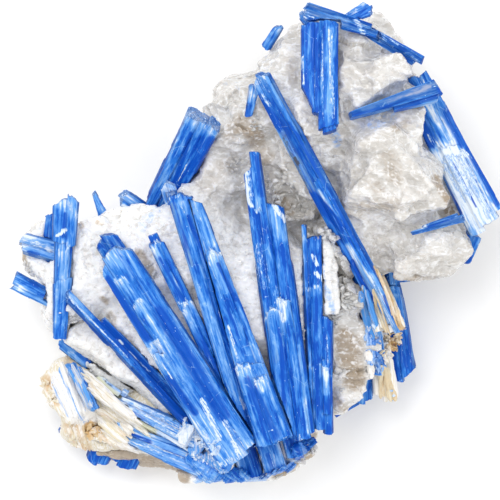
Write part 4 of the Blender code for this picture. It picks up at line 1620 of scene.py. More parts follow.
@dataclass
class Fan(ClusterPart):
    """The big blades that spread from the foot, and the stubs below them."""

    flake_cell: float = 0.5

    def pieces(self) -> tuple[Piece, ...]:
        """The blades from left to right, then the foot."""
        return (
            *self.left_blades(), *self.middle_blades(), *self.right_blades(), *self.foot(), self.slabs(),
        )

    def left_blades(self) -> tuple[BladePiece, ...]:
        """The broad blade, the one behind it, the slim one and the one on its edge."""
        blue = self.finishes.blue
        broad = BladePiece("fan_blade_broad", blue, tone=0.06, fade=0.4, marks=(
            PALE((-35.9, -2.7), (-33.5, -4.2), 2.4, 0.2), DEEP((-36.3, -8.2), (-26.5, -23.0), 1.3),
            PALE((-28.6, -14.1), (-20.8, -26.0), 0.6, 0.2), DEEP((-35.7, -14.3), (-25.5, -29.3), 1.2, 0.9),
            DEEP((-23.2, -16.6), (-7.5, -42.2), 2.4, 0.8), DEEP((-21.0, -32.9), (-14.6, -41.4), 1.4, 0.9),
            WEAR((-12.9, -38.4), (-8.4, -47.9), 1.0, 0.9), WEAR((-7.2, -43.9), (-3.7, -52.4), 1.1, 0.85),
            PALE((-14.4, -44.7), (-3.5, -52.2), 5.0, 0.45), WEAR((-16.1, -47.9), (-10.0, -55.5), 1.8, 0.8),
            WEAR((-9.5, -55.0), (-0.5, -52.3), 1.6, 0.75), WEAR((-5.0, -45.9), (-2.0, -51.5), 1.0, 0.6),
            WEAR((-25.2, -26.5), (-20.3, -32.9), 0.6, 0.7),
        ), flakes=(
            Flake((-33.3, -7.7), (-25.7, -22.3), 1.6, 0.3), Flake((-28.9, -13.3), (-6.5, -50.4), 1.9, 0.4),
            Flake((-25.7, -23.0), (-12.3, -52.8), 2.3, 0.55),
        ))
        behind = BladePiece("hidden_tip_blade", blue, tone=-0.12, fade=0.05, marks=(
            TINT((-39.1, 1.3), (-33.1, -0.3), 4.0, 0.35), WEAR((-37.5, 2.2), (-36.3, 0.7), 0.6, 0.6),
        ))
        slim = BladePiece("fan_blade_slim", blue, tone=-0.02, fade=0.05, rough=0.5, marks=(
            DEEP((-26.2, 1.7), (-24.3, 1.2), 1.6, 0.8), PALE((-25.9, -0.8), (-23.3, -5.2), 1.6, 0.35),
            DEEP((-23.5, -3.2), (-17.4, -13.9), 0.6, 0.8), PALE((-20.8, -6.7), (-16.9, -13.4), 0.4, 0.4),
            WEAR((-18.9, -14.4), (-16.6, -14.7), 0.5, 0.9), DEEP((-14.4, -22.4), (-7.0, -36.6), 1.3, 0.55),
            PALE((-17.9, -15.1), (-14.9, -20.1), 1.0, 0.25),
        ), flakes=(
            Flake((-25.5, 0.5), (-21.5, -11.2), 1.9, 0.35), Flake((-17.6, -14.4), (-6.5, -37.3), 2.8, 0.35),
        ))
        edge_on = BladePiece("fan_blade_edge_on", blue, tone=-0.08, fade=0.1, marks=(
            WEAR((-46.3, -13.0), (-31.5, -28.2), 0.35, 0.85),
            PALE((-45.9, -12.2), (-40.9, -18.2), 0.9, 0.6), DEEP((-38.8, -18.4), (-26.1, -31.8), 1.3),
            DEEP((-26.0, -32.5), (-18.0, -43.3), 1.5, 0.9), WEAR((-33.8, -24.0), (-33.0, -24.8), 0.6),
            WEAR((-31.3, -26.8), (-26.1, -31.8), 0.4, 0.65), DEEP((-31.1, -31.9), (-21.1, -43.5), 0.7, 0.8),
        ), flakes=(Flake((-39.3, -17.6), (-26.0, -33.3), 1.2, 0.3),))
        return broad, behind, slim, edge_on

    def middle_blades(self) -> tuple[BladePiece, ...]:
        """The long blades in the middle of the fan."""
        blue = self.finishes.blue
        left = BladePiece("fan_blade_centre_left", blue, tone=0.02, fade=0.05, marks=(
            TINT((-20.0, 10.1), (-15.8, -4.7), 1.5, 0.6), PALE((-18.8, 10.1), (-13.4, -11.1), 2.0, 0.2),
            WEAR((-21.5, 11.8), (-18.7, 12.3), 0.8, 0.65), WEAR((-18.3, 9.6), (-17.0, 7.9), 0.5, 0.8),
            DEEP((-16.1, 6.9), (-11.6, -4.2), 0.8, 0.9), WEAR((-13.9, -9.7), (-13.1, -11.1), 0.5, 0.7),
            PALE((-12.1, -13.6), (-5.5, -37.3), 1.8, 0.22), DEEP((-11.6, -11.1), (-7.9, -19.8), 0.8, 0.6),
            WEAR((-3.5, -38.0), (-2.5, -40.5), 0.9, 0.8),
        ))
        right = BladePiece("fan_blade_centre_right", blue, tone=0.02, marks=(
            PALE((-14.8, 9.8), (-10.4, 1.2), 1.6, 0.4), WEAR((-15.6, 10.3), (-12.8, 6.2), 1.1, 0.6),
            TAN((-15.4, 8.4), (-14.8, 7.6), 0.6, 0.8), PALE((-11.1, -2.2), (-7.4, -11.6), 1.3, 0.3),
            WEAR((-11.9, -1.3), (-8.2, -3.7), 0.5, 0.5), DEEP((-8.9, -4.7), (-4.5, -13.6), 0.8, 0.85),
            PALE((-5.5, -8.2), (-1.7, -16.7), 0.6, 0.4), WEAR((-6.4, -20.0), (-4.2, -27.7), 0.5, 0.9),
            PALE((-3.5, -31.4), (-2.5, -36.4), 1.0, 0.35), WEAR((-4.5, -29.9), (-4.0, -34.6), 0.4, 0.8),
            DEEP((-1.5, -33.4), (5.4, -47.3), 2.0, 0.7), WEAR((2.0, -51.5), (8.7, -47.5), 0.45, 0.75),
            PALE((0.5, -33.9), (2.0, -35.9), 0.9, 0.5), WEAR((-2.0, -31.2), (2.0, -29.2), 0.3, 0.6),
            WEAR((3.9, -46.0), (5.2, -45.8), 0.4, 0.9), PALE((2.0, -49.3), (4.0, -52.0), 1.6, 0.3),
        ), flakes=(
            Flake((-10.4, -0.8), (2.0, -27.5), 2.3, 0.45), Flake((-3.5, -29.0), (4.4, -49.6), 2.0, 0.4),
            Flake((1.0, -32.6), (6.4, -48.3), 1.5, 0.4),
        ))
        tall = BladePiece("fan_blade_tall", blue, tone=-0.02, fade=0.15, marks=(
            WEAR((-1.7, 19.0), (-1.0, 11.1), 1.1), WEAR((-1.0, 10.6), (-0.5, 9.4), 0.7, 1.2),
            DEEP((0.5, 21.9), (2.0, 12.1), 0.8, 0.8), DEEP((1.2, 7.2), (2.5, 0.7), 0.8),
            WEAR((4.9, 10.1), (7.7, 6.2), 1.0, 1.1), PALE((4.9, 8.6), (7.4, 2.2), 2.0, 0.5),
            WEAR((0.5, -0.3), (2.5, -10.2), 1.8, 0.55), WEAR((3.5, -8.2), (6.2, -10.7), 0.5, 0.5),
            WEAR((1.2, -13.2), (9.2, -10.9), 0.3, 0.6), PALE((-1.0, 6.3), (0.5, -13.7), 0.8, 0.35),
            WEAR((5.2, -14.1), (7.7, -13.4), 0.4, 0.6), WEAR((2.2, -18.2), (5.9, -16.1), 0.4, 0.6),
            PALE((6.9, -14.1), (7.4, -18.1), 1.1, 0.6), DEEP((6.7, -24.8), (7.4, -38.9), 0.6),
            PALE((11.1, -25.0), (13.6, -46.9), 0.6, 0.5), WEAR((11.2, -46.9), (11.5, -50.4), 0.4, 0.8),
            PALE((8.4, -13.6), (11.4, -38.4), 0.9, 0.25), TINT((3.0, -19.8), (5.4, -28.5), 1.6, 0.35),
        ), flakes=(
            Flake((1.2, 7.6), (0.7, 18.0), 1.0, 0.4), Flake((6.7, -13.1), (9.4, -28.5), 1.3, 0.35),
            Flake((4.2, -15.8), (9.3, -48.9), 2.6, 0.55),
        ))
        return left, right, tall

    def right_blades(self) -> tuple[Piece, ...]:
        """The blade at the right of the fan and the white crystals on it."""
        right = BladePiece("fan_blade_right", self.finishes.blue, tone=-0.12, fade=0.1, marks=(
            PALE((11.6, 4.8), (12.2, -11.2), 0.7, 0.5), WEAR((14.6, -2.7), (15.6, -5.0), 0.8),
            # the dark mark here is a painted shade spot
            WEAR((15.4, -7.0), (16.9, -8.5), 0.8), DARK((13.8, 2.8), (14.6, 2.2), 0.8, 0.8),
            TAN((15.3, 3.0), (16.1, 2.2), 0.7, 0.7), PALE((17.4, -31.1), (17.9, -36.6), 1.2, 0.45),
            WEAR((18.1, -22.1), (18.4, -29.1), 0.3, 0.7), DEEP((12.9, 1.2), (13.9, -13.7), 1.0, 0.6),
            TINT((12.2, -18.7), (13.4, -38.5), 1.4, 0.3), PALE((13.4, -41.0), (16.0, -46.8), 1.6, 0.3),
        ), flakes=(
            Flake((17.4, -29.3), (17.9, -38.1), 1.3, 0.35), Flake((14.2, -30.4), (14.4, -35.1), 0.7, 0.2),
            Flake((15.1, -10.2), (15.9, -28.6), 1.6, 0.25),
        ))
        flake = RockPiece(
            "pale_flake", self.finishes.quartz, "pale_kyanite", cell=self.flake_cell, swell=0.25,
            sugar=((2.4, 1.1), (1.1, 0.6)), faces=((3.0, 0.9),), glassy=0.2,
            marks=(
                BLUE((17.4, -4.2), (17.9, -11.2), 0.4, 0.8), BLUE((18.1, -11.2), (19.6, -16.4), 1.1, 0.9),
            ),
        )
        chip = BladePiece(
            "tip_chip", self.finishes.pale, slot="pale_kyanite", tone=-0.15,
            marks=(TINT((-22.5, 14.1), (-19.8, 13.1), 3.0, 0.2),),
        )
        return right, flake, chip

    def foot(self) -> tuple[BladePiece, ...]:
        """The short stubs below the fan."""
        blue = self.finishes.blue
        marks = (
            PALE((2.0, -56.9), (9.0, -52.7), 1.6, 0.35), WEAR((2.0, -52.7), (2.6, -57.7), 0.5, 0.6),
            PALE((5.7, -48.3), (8.1, -54.7), 1.0, 0.5), PALE((-5.5, -53.9), (-3.5, -56.9), 1.5, 0.3),
            WEAR((-3.5, -59.5), (1.0, -59.3), 0.5, 0.5), DEEP((3.5, -52.7), (4.5, -55.5), 1.0, 0.8),
        )
        nodes = ("foot_blade_left", "foot_blade_low", "foot_blade_middle", "foot_blade_right")
        return tuple(BladePiece(node, blue, marks=marks, tone=-0.04, fade=0.05, wear=0.7) for node in nodes)

    def slabs(self) -> Splinters:
        """The short pale slabs along the lower rim of the foot."""
        return Splinters("foot_slabs", self.finishes.blue, "kyanite", seed=17, sprays=(
            Spray(((-17.6, -52.7), (-11.6, -56.2)), ((-12.6, -58.7), (-7.1, -59.4)), 5, 3.8, tone=0.4),
            Spray(
                ((-8.0, -57.1), (-4.0, -56.4)), ((-5.0, -59.8), (-0.5, -59.8)), 5, 2.6,
                tone=0.2, lift=0.2,
            ),
            Spray(((2.0, -57.9), (9.1, -55.0)), ((3.0, -58.8), (10.7, -56.9)), 6, 2.6, tone=0.2, lift=0.2),
            Spray(
                ((9.5, -49.9), (14.8, -48.6)), ((11.7, -55.2), (16.0, -50.3)), 5, 2.0,
                blue=0.2, lift=0.2,
            ),
        ))


@dataclass
class UpperLobe(ClusterPart):
    """The blades on and around the glassy upper lobe."""

    def pieces(self) -> tuple[Piece, ...]:
        """The blades of the ridge, then those on the lobe."""
        return (*self.ridge(), self.standing(), *self.side(), self.diagonal(), self.back())

    def ridge(self) -> tuple[BladePiece, ...]:
        """The blades along the top of the lobe."""
        blue = self.finishes.blue
        marks = (
            WEAR((11.5, 59.3), (12.7, 55.7), 1.2, 0.65), WEAR((13.0, 56.4), (17.1, 53.9), 0.8, 0.6),
            WEAR((25.0, 55.2), (26.8, 52.3), 1.0, 0.85), WEAR((27.0, 54.0), (35.5, 49.4), 0.6, 0.7),
            WEAR((39.0, 46.4), (41.0, 45.0), 0.9, 0.6), PALE((12.5, 58.1), (22.3, 54.8), 1.2, 0.3),
            WEAR((22.8, 57.2), (25.2, 58.2), 1.0, 0.7), WEAR((39.9, 44.7), (41.2, 42.9), 0.8, 0.6),
        )
        nodes = (
            "ridge_blade_left", "ridge_blade_right", "ridge_end_splinter", "ridge_point",
            "lobe_rim_splinter",
        )
        hook = BladePiece("hook_splinter", blue, tone=-0.05, fade=0.3, marks=(
            PALE((-2.0, 39.2), (-0.5, 35.8), 1.2, 0.4), DEEP((-1.5, 34.8), (-1.5, 31.0), 1.0, 0.7),
        ))
        looks = {"marks": marks, "tone": 0.02, "fade": 0.15, "wear": 0.6}
        return hook, *(BladePiece(node, blue, **looks) for node in nodes)

    def standing(self) -> BladePiece:
        """The pair of laths that stands on the lobe."""
        return BladePiece(
            "upper_blade_pair", self.finishes.blue, tone=-0.06, fade=0.1, loose_flakes=1,
            marks=(
                WEAR((11.7, 46.2), (12.2, 39.3), 0.4, 0.85), DEEP((14.5, 54.2), (14.7, 42.8), 1.0),
                DEEP((12.9, 38.8), (14.2, 32.6), 0.8, 0.6), WEAR((16.1, 47.7), (16.3, 32.4), 0.5, 0.5),
                WEAR((18.6, 52.6), (19.2, 30.9), 0.8, 0.75), WEAR((16.6, 51.7), (16.8, 30.4), 0.35, 0.75),
                PALE((18.8, 52.6), (18.7, 32.9), 1.4, 0.3), DEEP((17.1, 50.2), (17.3, 32.9), 0.4, 0.6),
                DEEP((16.5, 30.9), (18.6, 27.1), 1.4, 0.4),
            ),
        )

    def side(self) -> tuple[BladePiece, ...]:
        """The rod, the broad blade at the right and the small ones by the ledge."""
        blue = self.finishes.blue
        rod = BladePiece("side_rod", blue, tone=0.16, fade=0.0, loose_flakes=0, rough=0.5, wear=0.3, marks=(
            DEEP((45.2, 36.8), (35.0, 32.7), 0.7, 0.7), PALE((43.7, 39.0), (26.4, 33.0), 0.6, 0.5),
            PALE((45.9, 35.7), (35.5, 31.3), 0.6, 0.35), DEEP((45.6, 38.5), (46.9, 36.2), 0.7, 0.8),
            WEAR((44.2, 39.7), (45.1, 39.0), 0.5, 0.7), DEEP((33.8, 34.5), (24.0, 31.3), 0.6, 0.6),
        ))
        broad = BladePiece("broad_side_blade", blue, tone=0.1, fade=0.1, marks=(
            DEEP((39.9, 32.8), (44.0, 25.7), 2.2), DEEP((47.9, 33.2), (51.9, 25.7), 1.8, 0.75),
            PALE((42.7, 36.1), (49.5, 26.2), 1.5, 0.6), WEAR((43.7, 27.2), (46.4, 24.2), 1.0, 0.65),
            PALE((47.9, 21.7), (58.0, 5.7), 5.5, 0.9), WEAR((48.4, 21.2), (53.0, 12.2), 2.2, 0.75),
            WEAR((51.9, 21.2), (59.0, 7.7), 2.2, 0.7), DEEP((49.7, 20.5), (55.5, 9.5), 0.4, 0.85),
            DEEP((52.9, 21.7), (59.2, 8.2), 0.4, 0.8), DEEP((53.2, 24.2), (61.0, 9.8), 0.9, 0.9),
            DEEP((44.9, 22.2), (52.3, 6.7), 0.6, 0.8), WEAR((41.9, 41.2), (43.6, 37.5), 0.8, 0.6),
        ), flakes=(Flake((48.7, 22.5), (56.5, 4.3), 2.6, 0.4), Flake((51.9, 23.2), (59.5, 8.2), 1.8, 0.5)))
        sliver = BladePiece("ledge_sliver", blue, tone=0.1, wear=0.8, marks=(
            WEAR((41.1, 2.7), (49.6, 5.7), 0.6, 0.55), DEEP((42.2, 4.2), (49.9, 6.9), 0.4, 0.6),
        ))
        end = BladePiece("ledge_end_blade", blue, tone=-0.1)
        under = BladePiece(
            "ledge_under_splinter", blue, tone=-0.08, marks=(TINT((35.7, -9.4), (39.5, -9.8), 3.0, 0.3),),
        )
        return rod, broad, sliver, end, under

    def diagonal(self) -> BladePiece:
        """The long blade that crosses the lobe."""
        return BladePiece("long_diagonal_blade", self.finishes.blue, marks=(
            WEAR((1.2, 40.0), (3.4, 37.5), 1.2, 0.6), WEAR((2.0, 36.9), (3.9, 34.4), 0.8, 0.7),
            WEAR((0.0, 39.6), (1.9, 41.4), 1.2, 0.75), DEEP((0.7, 36.3), (6.4, 29.8), 1.1),
            PALE((4.6, 39.4), (11.3, 27.7), 0.7, 0.35), DEEP((8.6, 29.7), (18.2, 14.0), 0.8, 0.7),
            TINT((7.4, 27.8), (14.3, 13.6), 1.2, 0.6), DEEP((1.2, 36.7), (6.6, 28.8), 1.0, 0.8),
            # the dark marks here paint shade on the blade's shaded underside
            DARK((7.4, 26.8), (12.9, 14.6), 0.8, 0.85), DARK((10.3, 21.4), (11.1, 20.0), 0.5, 1.5),
            PALE((5.5, 28.4), (10.6, 19.0), 0.4, 0.6), DEEP((14.1, 12.6), (21.7, 4.2), 1.6),
            PALE((15.8, 13.5), (20.2, 7.1), 0.5, 0.6), WEAR((12.0, 25.3), (16.7, 17.9), 0.5, 0.55),
            DEEP((19.7, 11.1), (26.1, -0.8), 0.9, 0.7), PALE((23.2, -0.3), (29.2, -9.7), 0.9, 0.6),
            TAN((30.5, -5.2), (36.7, -20.6), 1.3, 1.3), WEAR((21.9, 4.2), (24.2, 0.2), 0.4, 0.6),
            TINT((25.7, -4.2), (34.7, -21.1), 1.2, 0.5), PALE((29.1, -8.2), (35.2, -21.6), 1.6, 0.6),
            DEEP((24.3, -4.2), (29.3, -13.7), 1.0, 0.9), WEAR((29.6, -9.7), (34.2, -20.6), 0.5, 0.8),
            # the dark mark here is a painted shade spot
            WEAR((26.7, -4.2), (30.1, -9.7), 0.3, 0.7), DARK((29.9, -4.2), (32.2, -9.7), 0.5, 0.9),
            DEEP((32.1, -12.6), (35.7, -21.6), 0.5, 0.8),
        ))

    def back(self) -> BladePiece:
        """The thick blade that leans back, and shows its broken end."""
        return BladePiece("leaning_back_blade", self.finishes.blue, tone=-0.04, fade=0.35, wear=0.7, marks=(
            WEAR((-16.6, 32.8), (-9.9, 28.3), 2.2, 0.6), PALE((-16.6, 32.8), (-9.9, 28.3), 3.0, 0.4),
            DEEP((-15.6, 27.4), (-20.3, 14.6), 0.8), DEEP((-10.6, 25.5), (-14.5, 14.7), 2.2, 0.9),
            PALE((-17.8, 29.3), (-23.5, 14.8), 0.7, 0.3),
        ))


@dataclass
class LeftCorner(ClusterPart):
    """The blades at the left edge and those that show over the back rim."""

    def pieces(self) -> tuple[Piece, ...]:
        """Every blade of the corner."""
        blue = self.finishes.blue
        upright = BladePiece("left_upright_blade", blue, tone=0.1, fade=0.2, marks=(
            WEAR((-46.2, 10.7), (-44.7, 7.0), 1.1, 0.65), PALE((-47.9, 11.2), (-45.0, 7.7), 2.0, 0.3),
            WEAR((-49.2, 2.2), (-47.2, 3.7), 0.7, 1.1), PALE((-47.5, 0.0), (-47.0, -11.7), 1.6, 0.25),
            DEEP((-47.0, 7.7), (-47.7, 2.2), 0.9, 0.7), WEAR((-49.2, 1.2), (-49.1, -11.3), 0.4, 0.5),
            PALE((-49.3, -11.3), (-49.4, -20.1), 0.8, 0.25),
        ))
        upper = BladePiece("left_stub_upper", blue, tone=0.28, fade=0.5, marks=(
            WEAR((-58.5, 1.3), (-54.0, -0.2), 1.6, 0.7), DEEP((-57.0, -1.8), (-54.5, -2.3), 1.0, 0.9),
        ))
        dark = BladePiece(
            "left_stub_dark", blue, tone=-0.08, marks=(TINT((-52.6, 7.3), (-53.0, 1.3), 3.0, 0.4),),
        )
        lower = BladePiece(
            "left_stub_lower", blue, tone=0.06, marks=(PALE((-60.7, -9.9), (-52.6, -15.4), 1.0, 0.3),),
        )
        point = BladePiece("rim_point", blue, tone=0.1, wear=0.8)
        stub = BladePiece("rim_stub", blue, fade=0.45, marks=(
            WEAR((-34.0, 11.4), (-32.7, 13.4), 0.8, 0.7), PALE((-32.7, 9.6), (-28.6, 7.5), 1.0, 0.5),
        ))
        nodes = ("corner_low_splinter", "corner_splinter")
        splinters = (BladePiece(node, blue, tone=-0.05) for node in nodes)
        return upright, upper, dark, lower, point, stub, *splinters


@dataclass
class Bundle(ClusterPart):
    """The frayed bundle of laths below the lobe, with its tan and crumbly ends."""

    def pieces(self) -> tuple[Piece, ...]:
        """The laths, their splinters and their crumbs."""
        blue, altered = self.finishes.blue, self.finishes.altered
        marks = (
            PALE((29.6, -9.7), (35.6, -22.6), 1.6, 0.6), TAN((28.5, -10.4), (33.0, -22.3), 0.8),
            DEEP((30.6, -24.8), (31.3, -32.0), 1.2, 0.8),
            DEEP((26.3, -7.7), (29.6, -20.1), 1.0, 0.9), WEAR((26.4, -11.7), (28.6, -17.8), 0.6, 0.9),
            TINT((28.8, -11.7), (33.0, -21.8), 1.6, 0.5),
        )
        dark = BladePiece("bundle_lath_dark", blue, marks=marks, tone=-0.05)
        crumbly = BladePiece("bundle_lath_crumbly", blue, marks=marks, tone=0.3, wear=0.8, rough=1.4)
        stub = BladePiece("bundle_stub", blue, tone=0.08, wear=0.8)
        tan = BladePiece("bundle_lath_tan", altered, marks=marks, slot="weathered_kyanite", tone=0.1)
        splayed = BladePiece("splayed_end", altered, slot="weathered_kyanite")
        hanging = BladePiece("hanging_blade", blue, tone=-0.05, marks=(
            DEEP((34.7, -21.1), (36.0, -34.8), 1.2, 0.9), PALE((38.2, -32.8), (39.5, -34.8), 1.6, 0.35),
            DEEP((37.2, -21.1), (39.7, -31.3), 0.5, 0.6), WEAR((37.3, -34.9), (39.3, -33.8), 0.5, 0.6),
        ))
        under = BladePiece("under_splinter", blue, tone=-0.1)
        blades = (dark, crumbly, stub, tan, splayed, hanging, under)
        return (*blades, self.splinters(), self.crumbs(), self.chips())

    def splinters(self) -> Splinters:
        """The tan, cream and bluish splinters that lie on the laths."""
        return Splinters("bundle_splinters", self.finishes.altered, "weathered_kyanite", seed=13, sprays=(
            Spray(
                ((25.9, -11.2), (27.8, -9.9)), ((29.1, -24.8), (31.9, -23.4)), 6, 1.3,
                tan=-0.6, blue=0.8, lift=0.4,
            ),
            Spray(
                ((28.9, -10.2), (29.4, -9.9)), ((33.3, -22.8), (34.6, -22.9)), 2, 0.8,
                tan=0.5, tone=-0.4, lift=0.4,
            ),
            Spray(((30.7, -6.4), (31.8, -6.5)), ((35.7, -22.1), (38.0, -20.6)), 6, 0.8, tan=0.55, lift=0.4),
            Spray(
                ((28.1, -26.8), (29.1, -26.3)), ((29.2, -33.4), (30.5, -33.8)), 3, 1.2,
                tan=0.2, tone=0.3, lift=0.7,
            ),
            Spray(
                ((31.8, -30.5), (33.3, -30.0)), ((32.0, -39.3), (36.1, -39.4)), 5, 1.2,
                tan=0.4, tone=-0.5, blue=0.1, lift=0.3,
            ),
        ))

    def chips(self) -> Crumbs:
        """The bluish bits at the broken ends."""
        return Crumbs("bundle_chips", self.finishes.pale, "pale_kyanite", seed=29, on_blades=True, runs=(
            Run((27.7, -19.4), (29.6, -21.3), 1.0, 14, 1.1, tone=0.5),
            Run((28.1, -23.3), (31.6, -23.8), 1.4, 40, 1.3, blue=0.2),
            Run((29.1, -26.3), (31.8, -32.0), 1.2, 48, 1.2, blue=0.3),
            Run((34.6, -36.3), (35.6, -39.4), 0.5, 6, 1.2, tone=0.3),
        ))

    def crumbs(self) -> Crumbs:
        """The ochre crust at the broken end of the laths."""
        return Crumbs(
            "bundle_crumbs", self.finishes.altered, "weathered_kyanite", seed=27, on_blades=True,
            runs=(
                Run((33.0, -23.0), (37.6, -23.4), 1.2, 60, 1.0, tan=0.5),
                Run((33.9, -25.0), (36.9, -25.7), 1.2, 50, 1.0, tan=0.7),
                Run((32.8, -26.4), (34.0, -29.6), 0.9, 24, 1.0, tan=0.3),
            ),
        )


@dataclass
class WeatheredCorner(ClusterPart):
    """The altered corner at the lower left, where the laths sweep round to the foot."""

    root_cell: float = 0.8

    def pieces(self) -> tuple[Piece, ...]:
        """The laths, the root, the splinters and the crumbs."""
        blue, pale, altered = self.finishes.blue, self.finishes.pale, self.finishes.altered
        crusted = BladePiece(
            "sweeping_blade_crusted", blue, tone=0.45, wear=0.9, rough=1.5, loose_flakes=8,
            marks=(
                WEAR((-37.8, -37.0), (-26.1, -44.0), 1.5, 0.7),
                # the dark mark paints shade under the quartz bar's lower edge
                WEAR((-26.1, -42.7), (-13.5, -50.1), 2.5, 0.75), DARK((-32.7, -40.2), (-31.7, -40.7), 0.7),
                DEEP((-31.2, -41.5), (-26.2, -45.3), 1.0, 0.6),
            ),
        )
        low = BladePiece("sweeping_blade_low", blue, tone=0.38, wear=0.8, marks=(
            TAN((-40.1, -45.7), (-34.3, -48.7), 2.5), WEAR((-31.3, -49.2), (-18.7, -54.2), 1.6, 0.6),
            DEEP((-31.8, -47.6), (-26.2, -49.7), 0.8, 0.9), DEEP((-23.7, -51.7), (-16.1, -54.2), 0.7, 0.6),
        ))
        whitened = BladePiece(
            "sweeping_blade_pale", pale, slot="pale_kyanite", tone=0.35, rough=2.2, wear=0.9,
            marks=(
                TINT((-42.0, -32.6), (-26.2, -46.7), 2.5, 1.2),
                TAN((-43.0, -31.6), (-39.8, -35.0), 1.5, 0.7),
            ),
        )
        tan = BladePiece("sweeping_blade_tan", altered, slot="weathered_kyanite", tone=0.2, marks=(
            TAN((-40.2, -39.0), (-35.8, -45.4), 2.0, 0.5), DEEP((-26.2, -49.2), (-16.1, -52.0), 0.8, 0.7),
        ))
        lath = BladePiece("corner_lath", blue, tone=0.22, wear=0.8, marks=(
            WEAR((-42.7, -36.9), (-40.7, -42.2), 0.8, 0.6), WEAR((-46.8, -30.4), (-42.7, -37.9), 0.4, 0.4),
        ))
        left, right = (
            BladePiece(f"corner_stub_{side}", blue, tone=-0.12, wear=0.4) for side in ("left", "right")
        )
        blades = (crusted, low, whitened, tan, lath, left, right)
        return (*blades, self.root(), self.splinters(), self.crumbs(), self.chips())

    def root(self) -> RockPiece:
        """The blocky cream mass that the laths grow from."""
        return RockPiece(
            "weathered_root", self.finishes.altered, "weathered_kyanite", cell=self.root_cell, swell=0.2,
            sugar=((3.6, 1.3), (1.3, 0.6)), faces=((5.0, 0.8),), glassy=0.0, grain_of="corner_lath",
            marks=(
                DEEP((-46.8, -30.7), (-40.7, -40.9), 1.3), DEEP((-47.4, -36.6), (-44.9, -40.1), 0.7, 0.6),
                DEEP((-45.9, -41.3), (-42.8, -44.3), 1.4, 0.45),
                TAN((-52.5, -34.2), (-49.4, -39.6), 1.8, 0.7),
                TAN((-48.0, -28.3), (-46.3, -30.4), 1.5, 0.6),
                TAN((-41.7, -46.2), (-38.1, -48.3), 2.2, 1.3),
                # the dark mark is a painted shade spot
                TAN((-46.6, -46.3), (-42.5, -51.3), 2.5, 0.5), DARK((-43.7, -49.8), (-43.0, -50.9), 0.7),
                PALE((-49.0, -35.3), (-42.9, -42.9), 4.0, 0.5),
            ),
        )

    def splinters(self) -> Splinters:
        """The cream, tan and bluish splinters of the corner."""
        return Splinters("corner_splinters", self.finishes.altered, "weathered_kyanite", seed=11, sprays=(
            Spray(
                ((-51.7, -33.2), (-48.0, -29.6)), ((-46.0, -45.2), (-42.5, -43.2)), 16, 1.3,
                tan=-0.2, blue=0.3, tone=0.35,
            ),
            Spray(
                ((-46.8, -30.4), (-45.0, -30.1)), ((-41.2, -41.7), (-40.2, -41.2)), 5, 1.2,
                tan=-0.5, blue=0.75, lift=0.9,
            ),
            Spray(
                ((-43.5, -30.9), (-41.2, -37.0)), ((-29.2, -43.6), (-26.2, -48.7)), 18, 1.2,
                tone=0.15, lift=0.6,
            ),
            Spray(
                ((-39.5, -40.0), (-39.8, -44.3)), ((-30.3, -46.7), (-32.3, -50.8)), 16, 0.9,
                tan=0.25, tone=0.1, lift=0.7,
            ),
            Spray(
                ((-37.8, -45.1), (-39.4, -47.7)), ((-28.7, -52.8), (-33.1, -52.2)), 12, 0.9,
                tan=0.2, tone=0.25,
            ),
            Spray(
                ((-47.6, -45.8), (-43.1, -45.3)), ((-45.5, -51.3), (-41.9, -52.4)), 16, 0.8,
                tan=0.5, tone=0.1, lift=0.6,
            ),
        ))

    def crumbs(self) -> Crumbs:
        """The grains between the splinters."""
        return Crumbs(
            "corner_crumbs", self.finishes.altered, "weathered_kyanite", seed=21, on_blades=True,
            runs=(
                Run((-52.7, -34.2), (-49.9, -41.1), 1.5, 40, 1.1, tan=0.2),
                Run((-47.1, -46.9), (-43.0, -50.8), 2.2, 46, 1.3, tan=0.2),
                Run((-42.1, -46.4), (-37.9, -47.8), 1.6, 26, 1.3, tan=0.7),
                Run((-38.9, -47.7), (-34.5, -50.9), 1.2, 24, 1.0, tan=0.2),
            ),
        )

    def chips(self) -> Crumbs:
        """The white and bluish chips where the laths meet the foot."""
        return Crumbs("foot_chips", self.finishes.pale, "pale_kyanite", seed=23, on_blades=True, runs=(
            Run((-17.6, -46.4), (-13.4, -47.0), 1.6, 9, 2.8, tone=0.8),
            Run((-18.6, -44.9), (-11.9, -48.4), 2.0, 14, 1.1, tone=0.5),
            Run((-13.5, -48.4), (-9.4, -51.4), 1.8, 30, 1.3, tone=0.5),
            Run((-10.1, -57.7), (-4.5, -55.4), 0.8, 16, 0.9),
            Run((-16.1, -53.2), (-9.6, -57.2), 1.6, 8, 1.1, tone=0.8),
        ))


